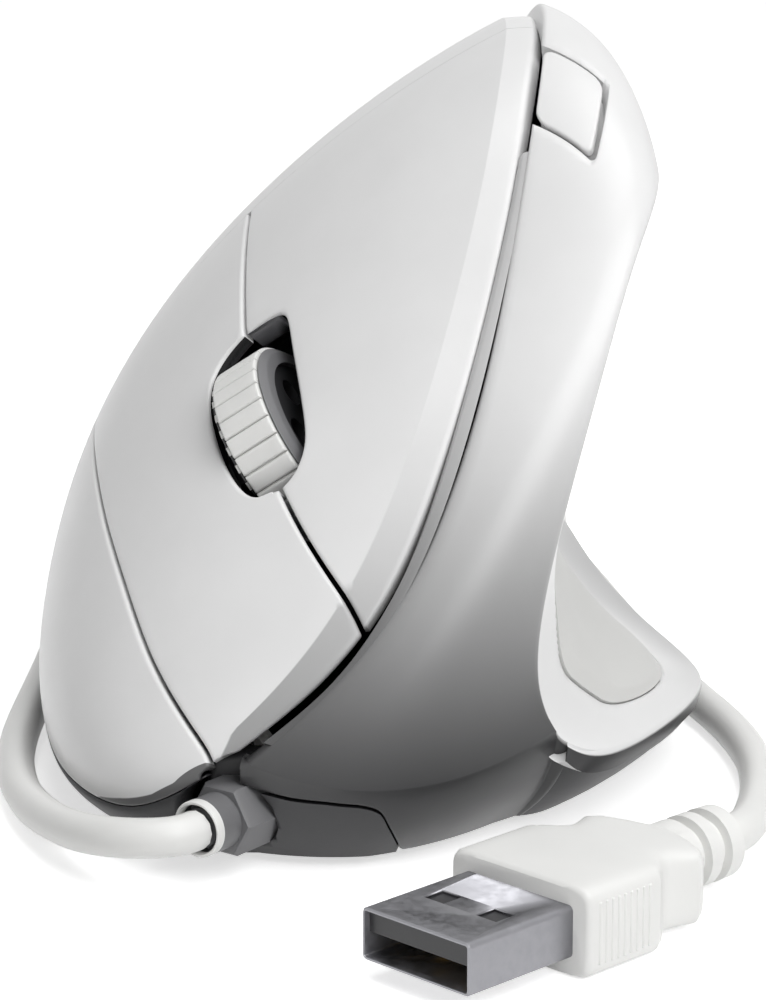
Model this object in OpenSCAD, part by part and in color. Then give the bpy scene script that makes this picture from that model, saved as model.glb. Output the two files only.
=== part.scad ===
// Right-handed vertical mouse: a fin-shaped body, two main keys, wheel, thumb scoop and a USB cord.
// Frame: X to the thumb side, Y to the rear, Z up, origin on the table under the middle of the body.

/* [Body] */
// Length of the body, nose to tail
body_length = 114.4; // [110:0.2:120]
// Width of the body, finger side to thumb wing
body_width = 62.4; // [60:0.4:66]
// Height of the ridge above the table
body_height = 68.4; // [66:0.2:72]
// Wall thickness of the shells
wall = 2; // [1.7:0.1:2.3]
// Half the width of the groove between the two upper shells
seam_gap = 0.6; // [0.4:0.1:0.8]
// Gap round every key
key_gap = 0.6; // [0.5:0.1:0.8]
// Width of the bevel along the finger shell's front edge
band_w = 3.5; // [3:0.5:6]
// Depth of that bevel at the edge
band_drop = 1; // [0.4:0.2:1.4]

/* [Base] */
// Thickness of the glide feet under the base
glide_t = 0.8; // [0.5:0.1:1.2]
// Thickness of the bottom plate
plate_t = 2; // [1.6:0.1:2.4]
// Thickness of the chassis plate
chassis_t = 1.5; // [1.2:0.1:2]
// Diameter of a screw's shank
screw_d = 2.2; // [2:0.1:2.6]
// Diameter of a screw's head
screw_head_d = 4.6; // [4:0.2:5]

/* [Wheel] */
// Diameter over the tyre
wheel_d = 18; // [17:0.5:18.5]
// Width of the tyre
wheel_w = 6; // [5:0.5:6.5]
// How far the tyre stands out of the keys
wheel_proud = 2.6; // [2:0.2:3]
// Ribs on the tyre
wheel_ribs = 30; // [20:2:40]
// Diameter of the axle
axle_d = 3; // [2.5:0.1:3.5]
// Radial clearance of the axle and the hinge pins
run_gap = 0.05; // [0.03:0.01:0.1]
// Travel of the wheel when it is clicked
wheel_travel = 0.6; // [0.4:0.1:0.8]

/* [Keys] */
// Diameter of the hinge pins under the main keys
pin_d = 2; // [1.6:0.1:2.4]
// Travel of the side and resolution keys
key_travel = 0.5; // [0.3:0.1:0.6]

/* [Electronics] */
// Thickness of a circuit board
pcb_t = 1.6; // [1:0.2:1.8]
// Height of the main board above the chassis plate
pcb_rise = 2; // [1.5:0.5:3]
// Height of a main switch
switch_h = 6.5; // [5.5:0.5:7]
// Height of a small switch
tact_h = 2.6; // [2:0.2:3]

/* [Cord] */
// Diameter of the cord
cord_d = 3.5; // [3:0.1:3.8]
// Outer diameter of the strain relief's collar
relief_d = 4.6; // [4.4:0.1:5.2]
// Turns of the coil in each of its two layers
coil_turns = 4; // [2:1:5]
// Clear gap between turns
coil_gap = 0.3; // [0.2:0.1:0.4]
// Width of the tie round the coil
tie_w = 6; // [4:1:8]
// Thickness of that tie
tie_t = 0.5; // [0.4:0.1:0.8]

/* [Plug] */
// Width of the plug's metal shell
plug_w = 12; // [11.5:0.1:12.5]
// Height of the plug's metal shell
plug_h = 4.5; // [4.3:0.1:4.7]
// Length of metal shell that shows
plug_l = 12; // [11:0.5:13]
// Width of the overmould
mould_w = 15.5; // [15:0.5:18]
// Height of the overmould
mould_h = 8; // [7.5:0.5:10]
// Length of the overmould
mould_l = 17; // [15:1:22]

/* [Hidden] */
$fn = 40;
shell_white = "#dcdcdc";
graphite = "#4a4a4c";
board_green = "#2f6b3c";
part_black = "#202022";
steel = "#b8bcc0";
cord_white = "#e4e4e2";

// Vectors and curves
function unit(v) = v / norm(v);
function mix(a, b, f) = a * (1 - f) + b * f;
function bez2(a, b, c, f) = mix(mix(a, b, f), mix(b, c, f), f);
function bez3(a, b, c, d, f) = mix(bez2(a, b, c, f), bez2(b, c, d, f), f);
// Uniform cubic B-spline that starts and ends on its outer points
function spline(p, t) =
    let (n = len(p) - 1, u = min(max(t, 0), 1) * n, i = min(floor(u), n - 1), f = u - i)
    let (a = i == 0 ? 2 * p[0] - p[1] : p[i - 1], d = i + 2 > n ? 2 * p[n] - p[n - 1] : p[i + 2])
    (pow(1 - f, 3) * a + (3 * pow(f, 3) - 6 * f * f + 4) * p[i]
        + (3 * f + 3 * f * f - 3 * pow(f, 3) + 1) * p[i + 1] + pow(f, 3) * d) / 6;
// Points are drawn for a body of 62.4 x 114.4 x 68.4
fit = [body_width / 62.4, body_length / 114.4, body_height / 68.4];
function sized(p) = [p.x * fit.x, p.y * fit.y, p.z * fit.z];
function rail_of(points) = [for (p = points) sized(p - [0.2, 0, 0])];

// Rails from nose to tail: the seam and ridge, the finger-side base edge, the scoop's upper edge, the wing
nose_tip = [-13, -56, 10];
tail_tip = [2, 58, 8];
scoop_tip = [17, -48.5, 10.5];
wing_end = [18, 44, 9];
seam_rail = rail_of([nose_tip, [-3, -54, 17.5], [4, -49.5, 26], [8.5, -42.5, 37], [11.5, -35.5, 47],
    [14, -28, 57], [15.5, -20, 65.5], [16.5, -9, 70], [15.5, 9, 66.5], [12, 29, 54], [7, 46, 32], tail_tip]);
base_rail = rail_of([nose_tip, [-20, -54.5, 5], [-26.5, -44, 5], [-29, -33, 5], [-30.5, -22, 5],
    [-31, -11, 5], [-31, 0, 5], [-30.5, 12, 5], [-29, 26, 5], [-25, 40, 5.5], [-15, 52, 6], tail_tip]);
edge_rail = rail_of([scoop_tip, [14.8, -47.5, 15], [15.5, -46.5, 22], [17.8, -44.5, 31], [20.8, -41, 41],
    [23.8, -36, 51], [27, -29.6, 56.8], [25.4, -16, 55], [25.8, 3, 49], [24, 20, 39], [21, 34, 25],
    wing_end]);
wing_rail = rail_of([scoop_tip, [21, -47.5, 8], [28.6, -34, 8], [31.6, -26, 8.5], [31.4, -17, 7.4],
    [29.6, -8, 7], [27.6, 1, 6.5], [25.7, 10, 6.5], [23.9, 19, 6.5], [22.3, 28, 7], [20.8, 36, 8],
    wing_end]);
// How far the nose and top strip bulges, nose to tail
strip_bulge = [for (p = [[0, -6, -4], [0.5, -2.5, 0.5], [3.5, -1, 2.5], [3, 1, 6.4], [4, 6, 0]]) sized(p)];

// The three surfaces, t from nose to tail and s across
function finger_at(t, s) =
    let (a = spline(seam_rail, t), b = spline(base_rail, t), w = a.x - b.x, h = a.z - b.z, y = a.y - b.y)
    bez3(a, a + [-0.46 * w, -0.25 * y - 0.02 * w, -0.16 * h],
        b + [-0.07 * w, 0.25 * y - 0.04 * w, 0.4 * h], b, s);
function strip_at(t, s) =
    let (a = spline(seam_rail, t), d = spline(edge_rail, t) - a, q = strip_bulge)
    let (k = mix(bez3(q[0], q[1], q[2], q[3], t), bez3(q[1], q[2], q[3], q[4], t), t))
    bez3(a, a + d / 3 + k, a + d * 2 / 3 + k, a + d, s);
function scoop_at(t, s) =
    let (a = spline(edge_rail, t), b = spline(wing_rail, t), h = a.z - b.z, y = b.y - a.y)
    bez3(a, a + [-0.16 * h, 0.2 * y, -0.25 * h], b + [-0.42 * h, -0.2 * y, 0.1 * h], b, s);
function finger_width(t) = norm(spline(seam_rail, t) - spline(base_rail, t));
function strip_width(t) = norm(spline(seam_rail, t) - spline(edge_rail, t));
// Bevelled finger surface: it falls away towards the seam
function bevel_at(t, s) =
    let (w = finger_width(t), far = min(band_w / w, 0.3))
    let (drop = band_drop * min(1, w / 30) * max(0, 1 - s / far), p = finger_at(t, s))
    let (inside = mix(spline(base_rail, t), spline(edge_rail, t), 0.6))
    p + drop * unit(inside - p);

// Lines that part the keys
function upper_split(t) = 0.42 * (1 - exp((0.13 - t) / 0.12));
function lower_split(t) = 0.44 + 0.62 * t - 0.26 * t * t;
t_first = 0.015;
t_nose = 0.022;
t_last = 0.985;
t_corner = 0.14;
t_slot = [0.282, 0.45];
t_forward = [0.45, 0.525];
t_back = [0.54, 0.617];
t_dpi = [0.495, 0.565];
t_hinge = [0.617, 0.623];
slot_left = 0.065 * wheel_w / 6;
slot_right = 0.07 * wheel_w / 6;
row_gap = key_gap / 130;
dpi_gap = 1.3 * row_gap;

rows = [t_first, t_nose, 0.05, 0.075, 0.105, t_corner, 0.17, 0.205, 0.235, 0.265, t_slot[0], 0.33, 0.365, 0.4,
    t_slot[1], t_forward[0] + row_gap, 0.475, t_dpi[0], t_dpi[0] + dpi_gap, t_forward[1] - row_gap,
    t_forward[1], t_back[0], t_back[0] + row_gap, t_dpi[1] - dpi_gap, t_dpi[1], 0.59, t_back[1] - row_gap,
    t_hinge[0], t_hinge[1], 0.66, 0.7, 0.74, 0.78, 0.82, 0.86, 0.9, 0.935, 0.965, t_last];
function row_of(t) = [for (i = [0 : len(rows) - 1]) if (abs(rows[i] - t) < 0.0001) i][0];
row_corner = row_of(t_corner);
row_slot = [row_of(t_slot[0]), row_of(t_slot[1])];
row_forward = [row_of(t_slot[1]), row_of(t_forward[1])];
row_back = [row_of(t_back[0]), row_of(t_hinge[0])];
row_dpi = [row_of(t_dpi[0]), row_of(t_dpi[1])];
row_hinge = [row_of(t_hinge[0]), row_of(t_hinge[1])];
row_pad = [6, 26];

// Columns run from the base edge over the ridge to the wing
function finger_columns(t) =
    let (w = finger_width(t), g = key_gap / 2 / w, sm = seam_gap / w)
    let (low = lower_split(t), up = upper_split(t))
    let (gu = g * norm([1, 3.5 * exp((0.13 - t) / 0.12) * w / 130]), b = max(up + gu, sm))
    let (a = max(up - gu, sm + 0.004), r = b + min(slot_right, 0.5 * (low - g - b)))
    [1, mix(low + g, 1, 0.66), mix(low + g, 1, 0.33), low + g,
        low - g, mix(low - g, r, 0.5), r, b,
        a, max(a - slot_left, mix(sm, a, 0.6)), mix(sm, a, 0.5), mix(sm, a, 0.28), mix(sm, a, 0.14), sm];
function strip_columns(t) = let (w = strip_width(t))
    [seam_gap / w, 0.13, 0.27, 0.4, 0.4 + 1.5 * key_gap / w, 0.6, 0.8, 1];
scoop_gap = key_gap / 55;
scoop_columns = [0.07, 0.07 + scoop_gap, 0.16, 0.25 - scoop_gap, 0.25, 0.38, 0.52, 0.66, 0.8, 0.9, 1];
col_low = 3;
col_up = 7;
col_seam = 13;
col_tab = 18;
col_edge = 21;
col_wing = 32;
skin = [for (t = rows) concat([for (s = finger_columns(t)) bevel_at(t, s)],
    [for (s = strip_columns(t)) strip_at(t, s)], [for (s = scoop_columns) scoop_at(t, s)])];

// Outward normals of a grid of points, and the grid moved inwards along them
function near(grid, i, j) = grid[min(max(i, 0), len(grid) - 1)][min(max(j, 0), len(grid[0]) - 1)];
function slope(a, b, c) = let (p = norm(b - a), q = norm(c - b))
    p == 0 ? c - b : q == 0 ? b - a : (b - a) * q / p + (c - b) * p / q;
function grid_normal(g, i, j) = unit(cross(slope(near(g, i, j - 1), g[i][j], near(g, i, j + 1)),
    slope(near(g, i - 1, j), g[i][j], near(g, i + 1, j))));
lining = [for (i = [0 : len(skin) - 1])
    [for (j = [0 : col_wing]) skin[i][j] - wall * grid_normal(skin, i, j)]];

// A shell between two grids, made of the cells that are kept
module shell(outer, inner, keep) {
    nr = len(outer) - 1;
    nc = len(outer[0]);
    half = len(outer) * nc;
    kept = function (i, j) i < 0 || j < 0 || i >= nr || j >= nc - 1 ? false : keep(i, j);
    side = function (p, q) p < q ? [[q, p, p + half], [q, p + half, q + half]]
        : [[q, p, q + half], [p, p + half, q + half]];
    faces = [for (i = [0 : nr - 1], j = [0 : nc - 2]) if (kept(i, j))
        let (a = i * nc + j, b = a + 1, d = a + nc, c = d + 1)
        each concat([[a, d, c], [a, c, b], [a + half, c + half, d + half], [a + half, b + half, c + half]],
            kept(i, j - 1) ? [] : side(a, d), kept(i, j + 1) ? [] : side(c, b),
            kept(i - 1, j) ? [] : side(b, a), kept(i + 1, j) ? [] : side(d, c))];
    polyhedron(concat([for (r = outer) each r], [for (r = inner) each r]), faces);
}
function within(k, ends) = k >= ends[0] && k < ends[1];

// Lower hull: it falls from the body's edge in to the base
base_top = glide_t + plate_t;
base_lip = 0.2;
head_seat = glide_t + 0.6 * plate_t;
drops = [1, 0.65, 0.3, 0];
function clamp(x) = min(max(x, 0), 1);
function foot_of(p) =
    let (w = clamp(p.x / fit.x / 14), front = clamp((-18 - p.y / fit.y) / 16))
    [p.x * mix(0.86, 0.94 - 0.15 * front, w), p.y * (p.y < 0 ? mix(0.92, 0.87, w) : 0.92), glide_t];
function hull_out(p, v) = let (f = foot_of(p)) bez2(p, [p.x, p.y, mix(p.z, f.z, 0.45)], f, v);
function hull_in(p, q, v) = let (f = foot_of(p)) hull_out(p, v) + mix(q - p, -wall * unit([f.x, f.y, 0]), v);
last_row = len(rows) - 1;
// Rim of the bottom shell: outer and inner point at each station, from the front tab round to the scoop
function lip_in(i) = lining[i][col_wing] + wall * unit(lining[i][col_wing - 1] - lining[i][col_wing]);
rear_columns = [14, 15, 16, 17, 19, 20, 21, 28];
rim = concat([for (j = [col_tab : -1 : col_seam + 1]) [skin[0][j], lining[0][j]]],
    [for (i = [0 : last_row]) [skin[i][0], lining[i][0]]],
    [for (j = rear_columns) [skin[last_row][j], lining[last_row][j]]],
    [for (i = [last_row - 1 : -1 : 0]) [lining[i][col_wing], lip_in(i)] - [[0, 0, 0.05], [0, 0, 0.05]]]);
function inset(p, d) = let (f = foot_of(p)) [f.x, f.y] * (1 - d / norm([f.x, f.y]));
plate_outline = concat([for (k = [0 : len(rim) - 2]) inset(rim[k][0], wall / 2)],
    [for (j = [col_edge : -1 : col_tab]) inset(skin[0][j], wall + 0.2)]);

// Local frames on the surfaces: axle direction, along the body, outwards
function frame_of(p, across, along) =
    let (n = unit(cross(across, along)), u = unit(along)) [p, cross(u, n), u, n];
function finger_frame(t, s) = frame_of(finger_at(t, s), finger_at(t, s - 0.005) - finger_at(t, s + 0.005),
    finger_at(t + 0.005, s) - finger_at(t - 0.005, s));
function strip_frame(t, s) = frame_of(strip_at(t, s), strip_at(t, s + 0.005) - strip_at(t, s - 0.005),
    strip_at(t + 0.005, s) - strip_at(t - 0.005, s));
function scoop_frame(t, s) = frame_of(scoop_at(t, s), scoop_at(t, s + 0.005) - scoop_at(t, s - 0.005),
    scoop_at(t + 0.005, s) - scoop_at(t - 0.005, s));
module in_frame(f) multmatrix([for (r = [0 : 2]) [f[1][r], f[2][r], f[3][r], f[0][r]]]) children();
function frame_point(f, a, u, n) = f[0] + a * f[1] + u * f[2] + n * f[3];
function depth_in(f, p) = (p - f[0]) * f[3];
module block(size, at) translate(at - size / 2) cube(size);
module rod(d, from, to, at = [0, 0]) translate([at[0], at[1], from]) cylinder(d = d, h = to - from);

t_wheel = 0.365;
s_wheel = upper_split(t_wheel);
function split_at(t) = finger_at(t, upper_split(t));
wheel_frame = frame_of(split_at(t_wheel),
    finger_at(t_wheel, s_wheel - 0.005) - finger_at(t_wheel, s_wheel + 0.005),
    split_at(t_wheel + 0.005) - split_at(t_wheel - 0.005));
wheel_z = wheel_proud - wheel_d / 2;
carrier_top = wheel_z - wheel_d / 2 - 0.5;
carrier_t = 2;
board_top = carrier_top - carrier_t - wheel_travel - tact_h + 0.2;
arm_in = wheel_w / 2 + 0.5;
arm_t = 1.5;
guide_u = 11.5;
switch_size = [5.8, 12.8, switch_h];
left_mid = finger_at(0.29, 0.18);
right_mid = finger_at(0.3, 0.5);
plunger_u = -2.5;
plunger_d = 1.6;
plunger_rise = 0.8;
function flat_of(f, p) = [(p - f[0]) * f[1], (p - f[0]) * f[2]];
left_at = flat_of(wheel_frame, left_mid) - [0, plunger_u];
right_at = flat_of(wheel_frame, right_mid) - [0, plunger_u];
left_hinge = let (f = finger_frame(0.642, 0.2)) [f[0] - (wall + 3) * f[3], f[1], f[2], f[3]];
right_hinge = let (f = finger_frame(0.642, 0.57)) [f[0] - (wall + 3) * f[3], f[1], f[2], f[3]];
barrel_d = pin_d + 2.4;
barrel_l = 6;
lug_t = 2;
side_frame = scoop_frame(0.53, 0.16);
side_depth = -(wall + 4);
forward_mid = scoop_at(0.48, 0.16);
back_mid = scoop_at(0.58, 0.16);
dpi_frame = strip_frame(0.53, 0.2);
dpi_depth = -(wall + 4);
tact = 3.6;

// Shells
module hinge_lugs(f) in_frame(f) {
    for (e = [-1, 1]) block([lug_t, 6, pin_d / 2 + 0.8 + 3 + wall / 2],
        [e * (barrel_l / 2 + 0.3 + lug_t / 2), 3 - pin_d / 2 - 0.8, (3 + wall / 2 - pin_d / 2 - 0.8) / 2]);
    rotate([0, 90, 0]) rod(pin_d, -barrel_l / 2 - 0.3 - lug_t / 2, barrel_l / 2 + 0.3 + lug_t / 2);
}
module hinge_barrel(f) in_frame(f) difference() {
    union() {
        rotate([0, 90, 0]) rod(barrel_d, -barrel_l / 2, barrel_l / 2);
        block([barrel_l, 9, pin_d], [0, -4.5, 0]);
        block([barrel_l, 4, 3 + wall / 2 + pin_d / 2], [0, -7, 1.5 + wall / 4 - pin_d / 4]);
    }
    rotate([0, 90, 0]) rod(pin_d + 2 * run_gap, -barrel_l, barrel_l);
}
module finger_shell() color(shell_white) {
    shell(skin, lining, function (i, j) j < col_low || (i >= row_hinge[1] && j < col_seam));
    hinge_lugs(left_hinge);
    hinge_lugs(right_hinge);
}
module key_post(p) in_frame(wheel_frame)
    rod(3.2, board_top + switch_h + plunger_rise, depth_in(wheel_frame, p) - wall * 0.7,
        flat_of(wheel_frame, p));
module left_button() color(shell_white) {
    shell(skin, lining, function (i, j) within(j, [col_up + 1, col_seam])
        && within(i, [row_corner, row_hinge[0]]) && !(within(i, row_slot) && j == col_up + 1));
    hinge_barrel(left_hinge);
    key_post(left_mid);
}
module right_button() color(shell_white) {
    shell(skin, lining, function (i, j) within(j, [col_low + 1, col_up]) && within(i, [1, row_hinge[0]])
        && !(within(i, row_slot) && j == col_up - 1));
    hinge_barrel(right_hinge);
    key_post(right_mid);
}
// Nose rows below the thumb shell's waist are followed by the rows of the body
hull_rows = [for (v = [1, 0.65, 0.3]) [for (j = [0 : col_wing])
    hull_out(skin[0][min(max(j, col_tab), col_edge)], v)]];
hull_lining = [for (v = [1, 0.65, 0.3]) [for (j = [0 : col_wing])
    let (k = min(max(j, col_tab), col_edge)) hull_in(skin[0][k], lining[0][k], v)]];
module board_post(f, depth, p) in_frame(f) let (q = p - f[0])
    rod(1.8, depth, q * f[3] - wall / 2, [q * f[1], q * f[2]]);
side_posts = [scoop_at(0.5325, 0.16), scoop_at(0.64, 0.16)];
dpi_posts = [strip_at(0.577, 0.2)];
module thumb_shell() color(shell_white) {
    shell(concat(hull_rows, skin), concat(hull_lining, lining), function (k, j) let (i = k - 3)
        i < 0 ? within(j, [col_tab, col_edge]) : j > col_seam
            && !(within(i, row_dpi) && within(j, [col_seam + 1, col_tab]))
            && !((within(i, row_forward) || within(i, row_back)) && within(j, [col_edge + 1, col_edge + 5]))
            && !(within(i, row_pad) && within(j, [col_edge + 6, col_edge + 9])));
    for (p = side_posts) board_post(side_frame, side_depth, p);
    for (p = dpi_posts) board_post(dpi_frame, dpi_depth, p);
}
module thumb_pad() color("#c4c4c4")
    shell(skin, lining, function (i, j) within(i, row_pad) && within(j, [col_edge + 6, col_edge + 9]));

// Small keys
module small_key(f, depth, mid, ends, columns) {
    shell(skin, lining, function (i, j) within(i, ends) && within(j, columns));
    in_frame(f) let (q = mid - f[0])
        rod(2.4, depth + tact_h + plunger_rise, q * f[3] - wall / 2, [q * f[1], q * f[2]]);
}
module forward_button() color(shell_white) small_key(side_frame, side_depth, forward_mid,
    [row_forward[0] + 1, row_forward[1] - 1], [col_edge + 2, col_edge + 4]);
module back_button() color(shell_white) small_key(side_frame, side_depth, back_mid,
    [row_back[0] + 1, row_back[1] - 1], [col_edge + 2, col_edge + 4]);
module dpi_button() color(shell_white) small_key(dpi_frame, dpi_depth, dpi_frame[0],
    [row_dpi[0] + 1, row_dpi[1] - 1], [col_seam + 1, col_seam + 4]);

// Base
screw_at = [for (p = [[-15, -30], [9, -34], [-11, 42], [8, 42]]) [p[0] * fit.x, p[1] * fit.y]];
sensor_at = [-2, 6 * fit.y];
window = [9, 13];
exit_at = sized([-12.2, -55.2, 5.6]);
exit_dir = [-0.6, -0.8, 0];
module along_exit() translate(exit_at) rotate([0, 0, atan2(exit_dir.y, exit_dir.x)]) rotate([0, 90, 0])
    children();
module bottom_shell() color(graphite) difference() {
    union() {
        shell([for (r = rim) [for (v = drops) hull_out(r[0], v)]],
            [for (r = rim) [for (v = drops) hull_in(r[0], r[1], v)]], function (i, j) true);
        translate([0, 0, glide_t + base_lip]) linear_extrude(plate_t - base_lip) polygon(plate_outline);
    }
    for (p = screw_at) {
        rod(screw_d + 0.4, 0, base_top + 1, p);
        rod(screw_head_d + 0.4, 0, head_seat, p);
    }
    block([window.x, window.y, 12], [sensor_at.x, sensor_at.y, 0]);
    along_exit() {
        rod(relief_d, -6, 12);
        block([relief_d + 0.6, relief_d + 2, 4], [0, 0, -6.6]);
    }
}
glide_at = [for (p = [[-10, -41, 20, 6], [2, 38, 22, 8], [-21, 4, 5, 22], [18.5, 0, 5, 22]])
    [p[0] * fit.x, p[1] * fit.y, p[2], p[3]]];
module glide_feet() color("#d8d8d4") for (g = glide_at)
    let (r = min(g[2], g[3]) / 2, l = max(g[2], g[3]) / 2 - r)
    translate([g[0], g[1], 0]) rotate([0, 0, g[2] > g[3] ? 0 : 90]) linear_extrude(glide_t + base_lip) {
        square([2 * l, 2 * r], center = true);
        for (e = [-l, l]) translate([e, 0]) circle(r);
    }
module case_screws() color(steel) for (p = screw_at) {
    rod(screw_head_d, glide_t + base_lip + 0.1, head_seat, p);
    rod(screw_d, head_seat, base_top + chassis_t + 4, p);
}

// Chassis and boards
chassis_top = base_top + chassis_t;
main_z = chassis_top + pcb_rise;
button_under = board_top - pcb_t;
tower = frame_point(wheel_frame, -1, -2, button_under);
main_x = [-17, 12];
chip_size = [10, 12, 3];
connector_size = [10, 5, 5];
main_y = [sensor_at.y - chip_size.y / 2 - 1 - connector_size.y, 36 * fit.y];
lens_size = [15, 20];
stand_at = [for (x = [main_x[0] + 2.5, main_x[1] - 2.5], y = [main_y[0] + 2.5, main_y[1] - 2.5]) [x, y]];
module chassis() color(part_black) difference() {
    union() {
        translate([0, 0, base_top]) linear_extrude(chassis_t) union() {
            polygon([screw_at[0] + [-3.5, -3.5], screw_at[1] + [3.5, -3.5], screw_at[3] + [3.5, 3.5],
                screw_at[2] + [-3.5, 3.5]]);
            translate([main_x[0], main_y[0]]) square([main_x[1] - main_x[0], main_y[1] - main_y[0]]);
        }
        for (p = screw_at) rod(screw_d + 3, base_top, chassis_top + 5, p);
        for (p = stand_at) rod(4, base_top, main_z, p);
        difference() {
            translate([tower.x - 6, tower.y - 5, base_top]) cube([12, 12, tower.z + 12 - base_top]);
            in_frame(wheel_frame) translate([-50, -50, button_under]) cube(100);
        }
    }
    for (p = screw_at) rod(screw_d, 0, chassis_top + 4, p);
    block([lens_size.x + 0.6, lens_size.y + 0.6, 8], [sensor_at.x, sensor_at.y, base_top]);
}
module main_board() color(board_green) difference() {
    translate([main_x[0], main_y[0], main_z]) cube([main_x[1] - main_x[0], main_y[1] - main_y[0], pcb_t]);
    block([6, 8, 20], [sensor_at.x, sensor_at.y, main_z]);
    for (p = stand_at) rod(1.6, 0, 30, p);
}
module sensor_chip() color(part_black)
    block(chip_size, [sensor_at.x, sensor_at.y, main_z + pcb_t + chip_size.z / 2]);
module sensor_lens() color("#cfe6ee") {
    block([lens_size.x, lens_size.y, main_z - base_top], [sensor_at.x, sensor_at.y, (main_z + base_top) / 2]);
    rod(4.5, main_z - 0.5, main_z + pcb_t - 0.1, [sensor_at.x, sensor_at.y]);
}
module light_source() color("#e8d8d8") translate([sensor_at.x, sensor_at.y + 15, main_z + pcb_t]) {
    cylinder(d = 5.6, h = 1);
    cylinder(d = 5, h = 6);
    translate([0, 0, 6]) sphere(d = 5);
}
connector_at = [main_x[0] + 7, main_y[0] + 0.4 + connector_size.y / 2];
module cord_connector() color("#efece2") difference() {
    block(connector_size, [connector_at.x, connector_at.y, main_z + pcb_t + connector_size.z / 2]);
    block([8, 3, 5], [connector_at.x, connector_at.y, main_z + pcb_t + connector_size.z]);
}
board_right = left_at[0] + switch_size.x / 2 + 0.4;
board_outline = [[-14, -13], [board_right, -13], [board_right, 3], [8, 3], [8, 13.5], [-14, 13.5]];
module button_board() color(board_green) in_frame(wheel_frame) difference() {
    translate([0, 0, button_under]) linear_extrude(pcb_t) polygon(board_outline);
    for (e = [-1, 1]) rod(2, button_under - 1, 0, [0, e * guide_u]);
}
module main_switch(at) color(part_black) in_frame(wheel_frame) difference() {
    translate([at[0] - switch_size.x / 2, at[1] - switch_size.y / 2, board_top]) cube(switch_size);
    rod(plunger_d + 0.9, board_top + switch_h - 2, board_top + switch_h + 1, [at[0], at[1] + plunger_u]);
}
module left_switch() main_switch(left_at);
module right_switch() main_switch(right_at);
module main_plunger(at) color("#c83c30") in_frame(wheel_frame)
    rod(plunger_d, board_top + switch_h - 1, board_top + switch_h + plunger_rise, [at[0], at[1] + plunger_u]);
module left_plunger() main_plunger(left_at);
module right_plunger() main_plunger(right_at);

// Wheel
module at_wheel() in_frame(wheel_frame) translate([0, 0, wheel_z]) rotate([0, 90, 0]) children();
module wheel_tyre() color("#e2e2e2") at_wheel() difference() {
    rotate_extrude($fn = 72) polygon([[wheel_d / 2 - 2.2, -wheel_w / 2], [wheel_d / 2 - 0.7, -wheel_w / 2],
        [wheel_d / 2, -wheel_w / 2 + 0.9], [wheel_d / 2, wheel_w / 2 - 0.9], [wheel_d / 2 - 0.7, wheel_w / 2],
        [wheel_d / 2 - 2.2, wheel_w / 2]]);
    for (k = [0 : wheel_ribs - 1]) rotate([0, 0, k * 360 / wheel_ribs])
        block([0.8, 0.7, wheel_w + 1], [wheel_d / 2, 0, 0]);
}
module wheel_hub() color(part_black) at_wheel() {
    difference() {
        rod(wheel_d - 4.4, -wheel_w / 2 + 0.4, wheel_w / 2 - 0.4, $fn = 72);
        for (k = [0 : 4]) rotate([0, 0, k * 72]) rod(2.6, -wheel_w, wheel_w, [wheel_d / 4 - 0.3, 0]);
    }
    rod(axle_d + 1.4, -arm_in + 0.15, arm_in - 0.15);
    rod(axle_d, -arm_in - arm_t - 2, arm_in + arm_t);
}
module wheel_carrier() color("#3a3a3c") in_frame(wheel_frame) difference() {
    union() {
        translate([-arm_in - arm_t, -guide_u - 2.5, carrier_top - carrier_t])
            cube([2 * (arm_in + arm_t), 2 * guide_u + 5, carrier_t]);
        for (e = [-1, 1]) block([arm_t, 7, wheel_z + 2.5 - carrier_top + carrier_t],
            [e * (arm_in + arm_t / 2), 0, (wheel_z + 2.5 + carrier_top - carrier_t) / 2]);
    }
    translate([0, 0, wheel_z]) rotate([0, 90, 0]) rod(axle_d + 2 * run_gap, -20, 20);
    for (e = [-1, 1]) rod(2 + 2 * run_gap, board_top, 0, [0, e * guide_u]);
}
module wheel_guides() color(steel) in_frame(wheel_frame)
    for (e = [-1, 1]) rod(2, button_under, carrier_top + 0.8, [0, e * guide_u]);
module encoder() color("#2c3c58") in_frame(wheel_frame) difference() {
    block([4, 8, 7], [-arm_in - arm_t - 2, 0, wheel_z - 1.5]);
    translate([0, 0, wheel_z]) rotate([0, 90, 0]) rod(axle_d + 2 * run_gap, -30, 0);
}
module middle_switch() color(part_black) in_frame(wheel_frame) difference() {
    block([tact, tact, tact_h - 0.5], [0, 0, board_top + (tact_h - 0.5) / 2]);
    rod(plunger_d + 0.6, board_top + 0.4, board_top + tact_h, [0, 0]);
}
module middle_plunger() color("#d8d4c8") in_frame(wheel_frame)
    rod(plunger_d, board_top + 0.7 + wheel_travel, carrier_top - carrier_t);

// Small boards and switches
module key_board(f, depth, size, at) color(board_green) in_frame(f)
    translate([at[0] - size[0] / 2, at[1] - size[1] / 2, depth - 1.2]) cube([size[0], size[1], 1.2]);
module side_board() key_board(side_frame, side_depth, [5.2, 20], [2.5, 3.5]);
module dpi_board() key_board(dpi_frame, dpi_depth, [4.4, 9.6], [-0.6, 2]);
module key_switch(f, depth, p) color(part_black) in_frame(f)
    translate(concat(flat_of(f, p), depth)) difference() {
        block([tact, tact, tact_h], [0, 0, tact_h / 2]);
        rod(plunger_d + 0.6, 0.4, tact_h + 1);
    }
module key_plunger(f, depth, p) color("#d8d4c8") in_frame(f) translate(concat(flat_of(f, p), depth))
    rod(plunger_d, 0.7 + key_travel, tact_h + plunger_rise);
module forward_switch() key_switch(side_frame, side_depth, forward_mid);
module back_switch() key_switch(side_frame, side_depth, back_mid);
module dpi_switch() key_switch(dpi_frame, dpi_depth, dpi_frame[0]);
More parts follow.
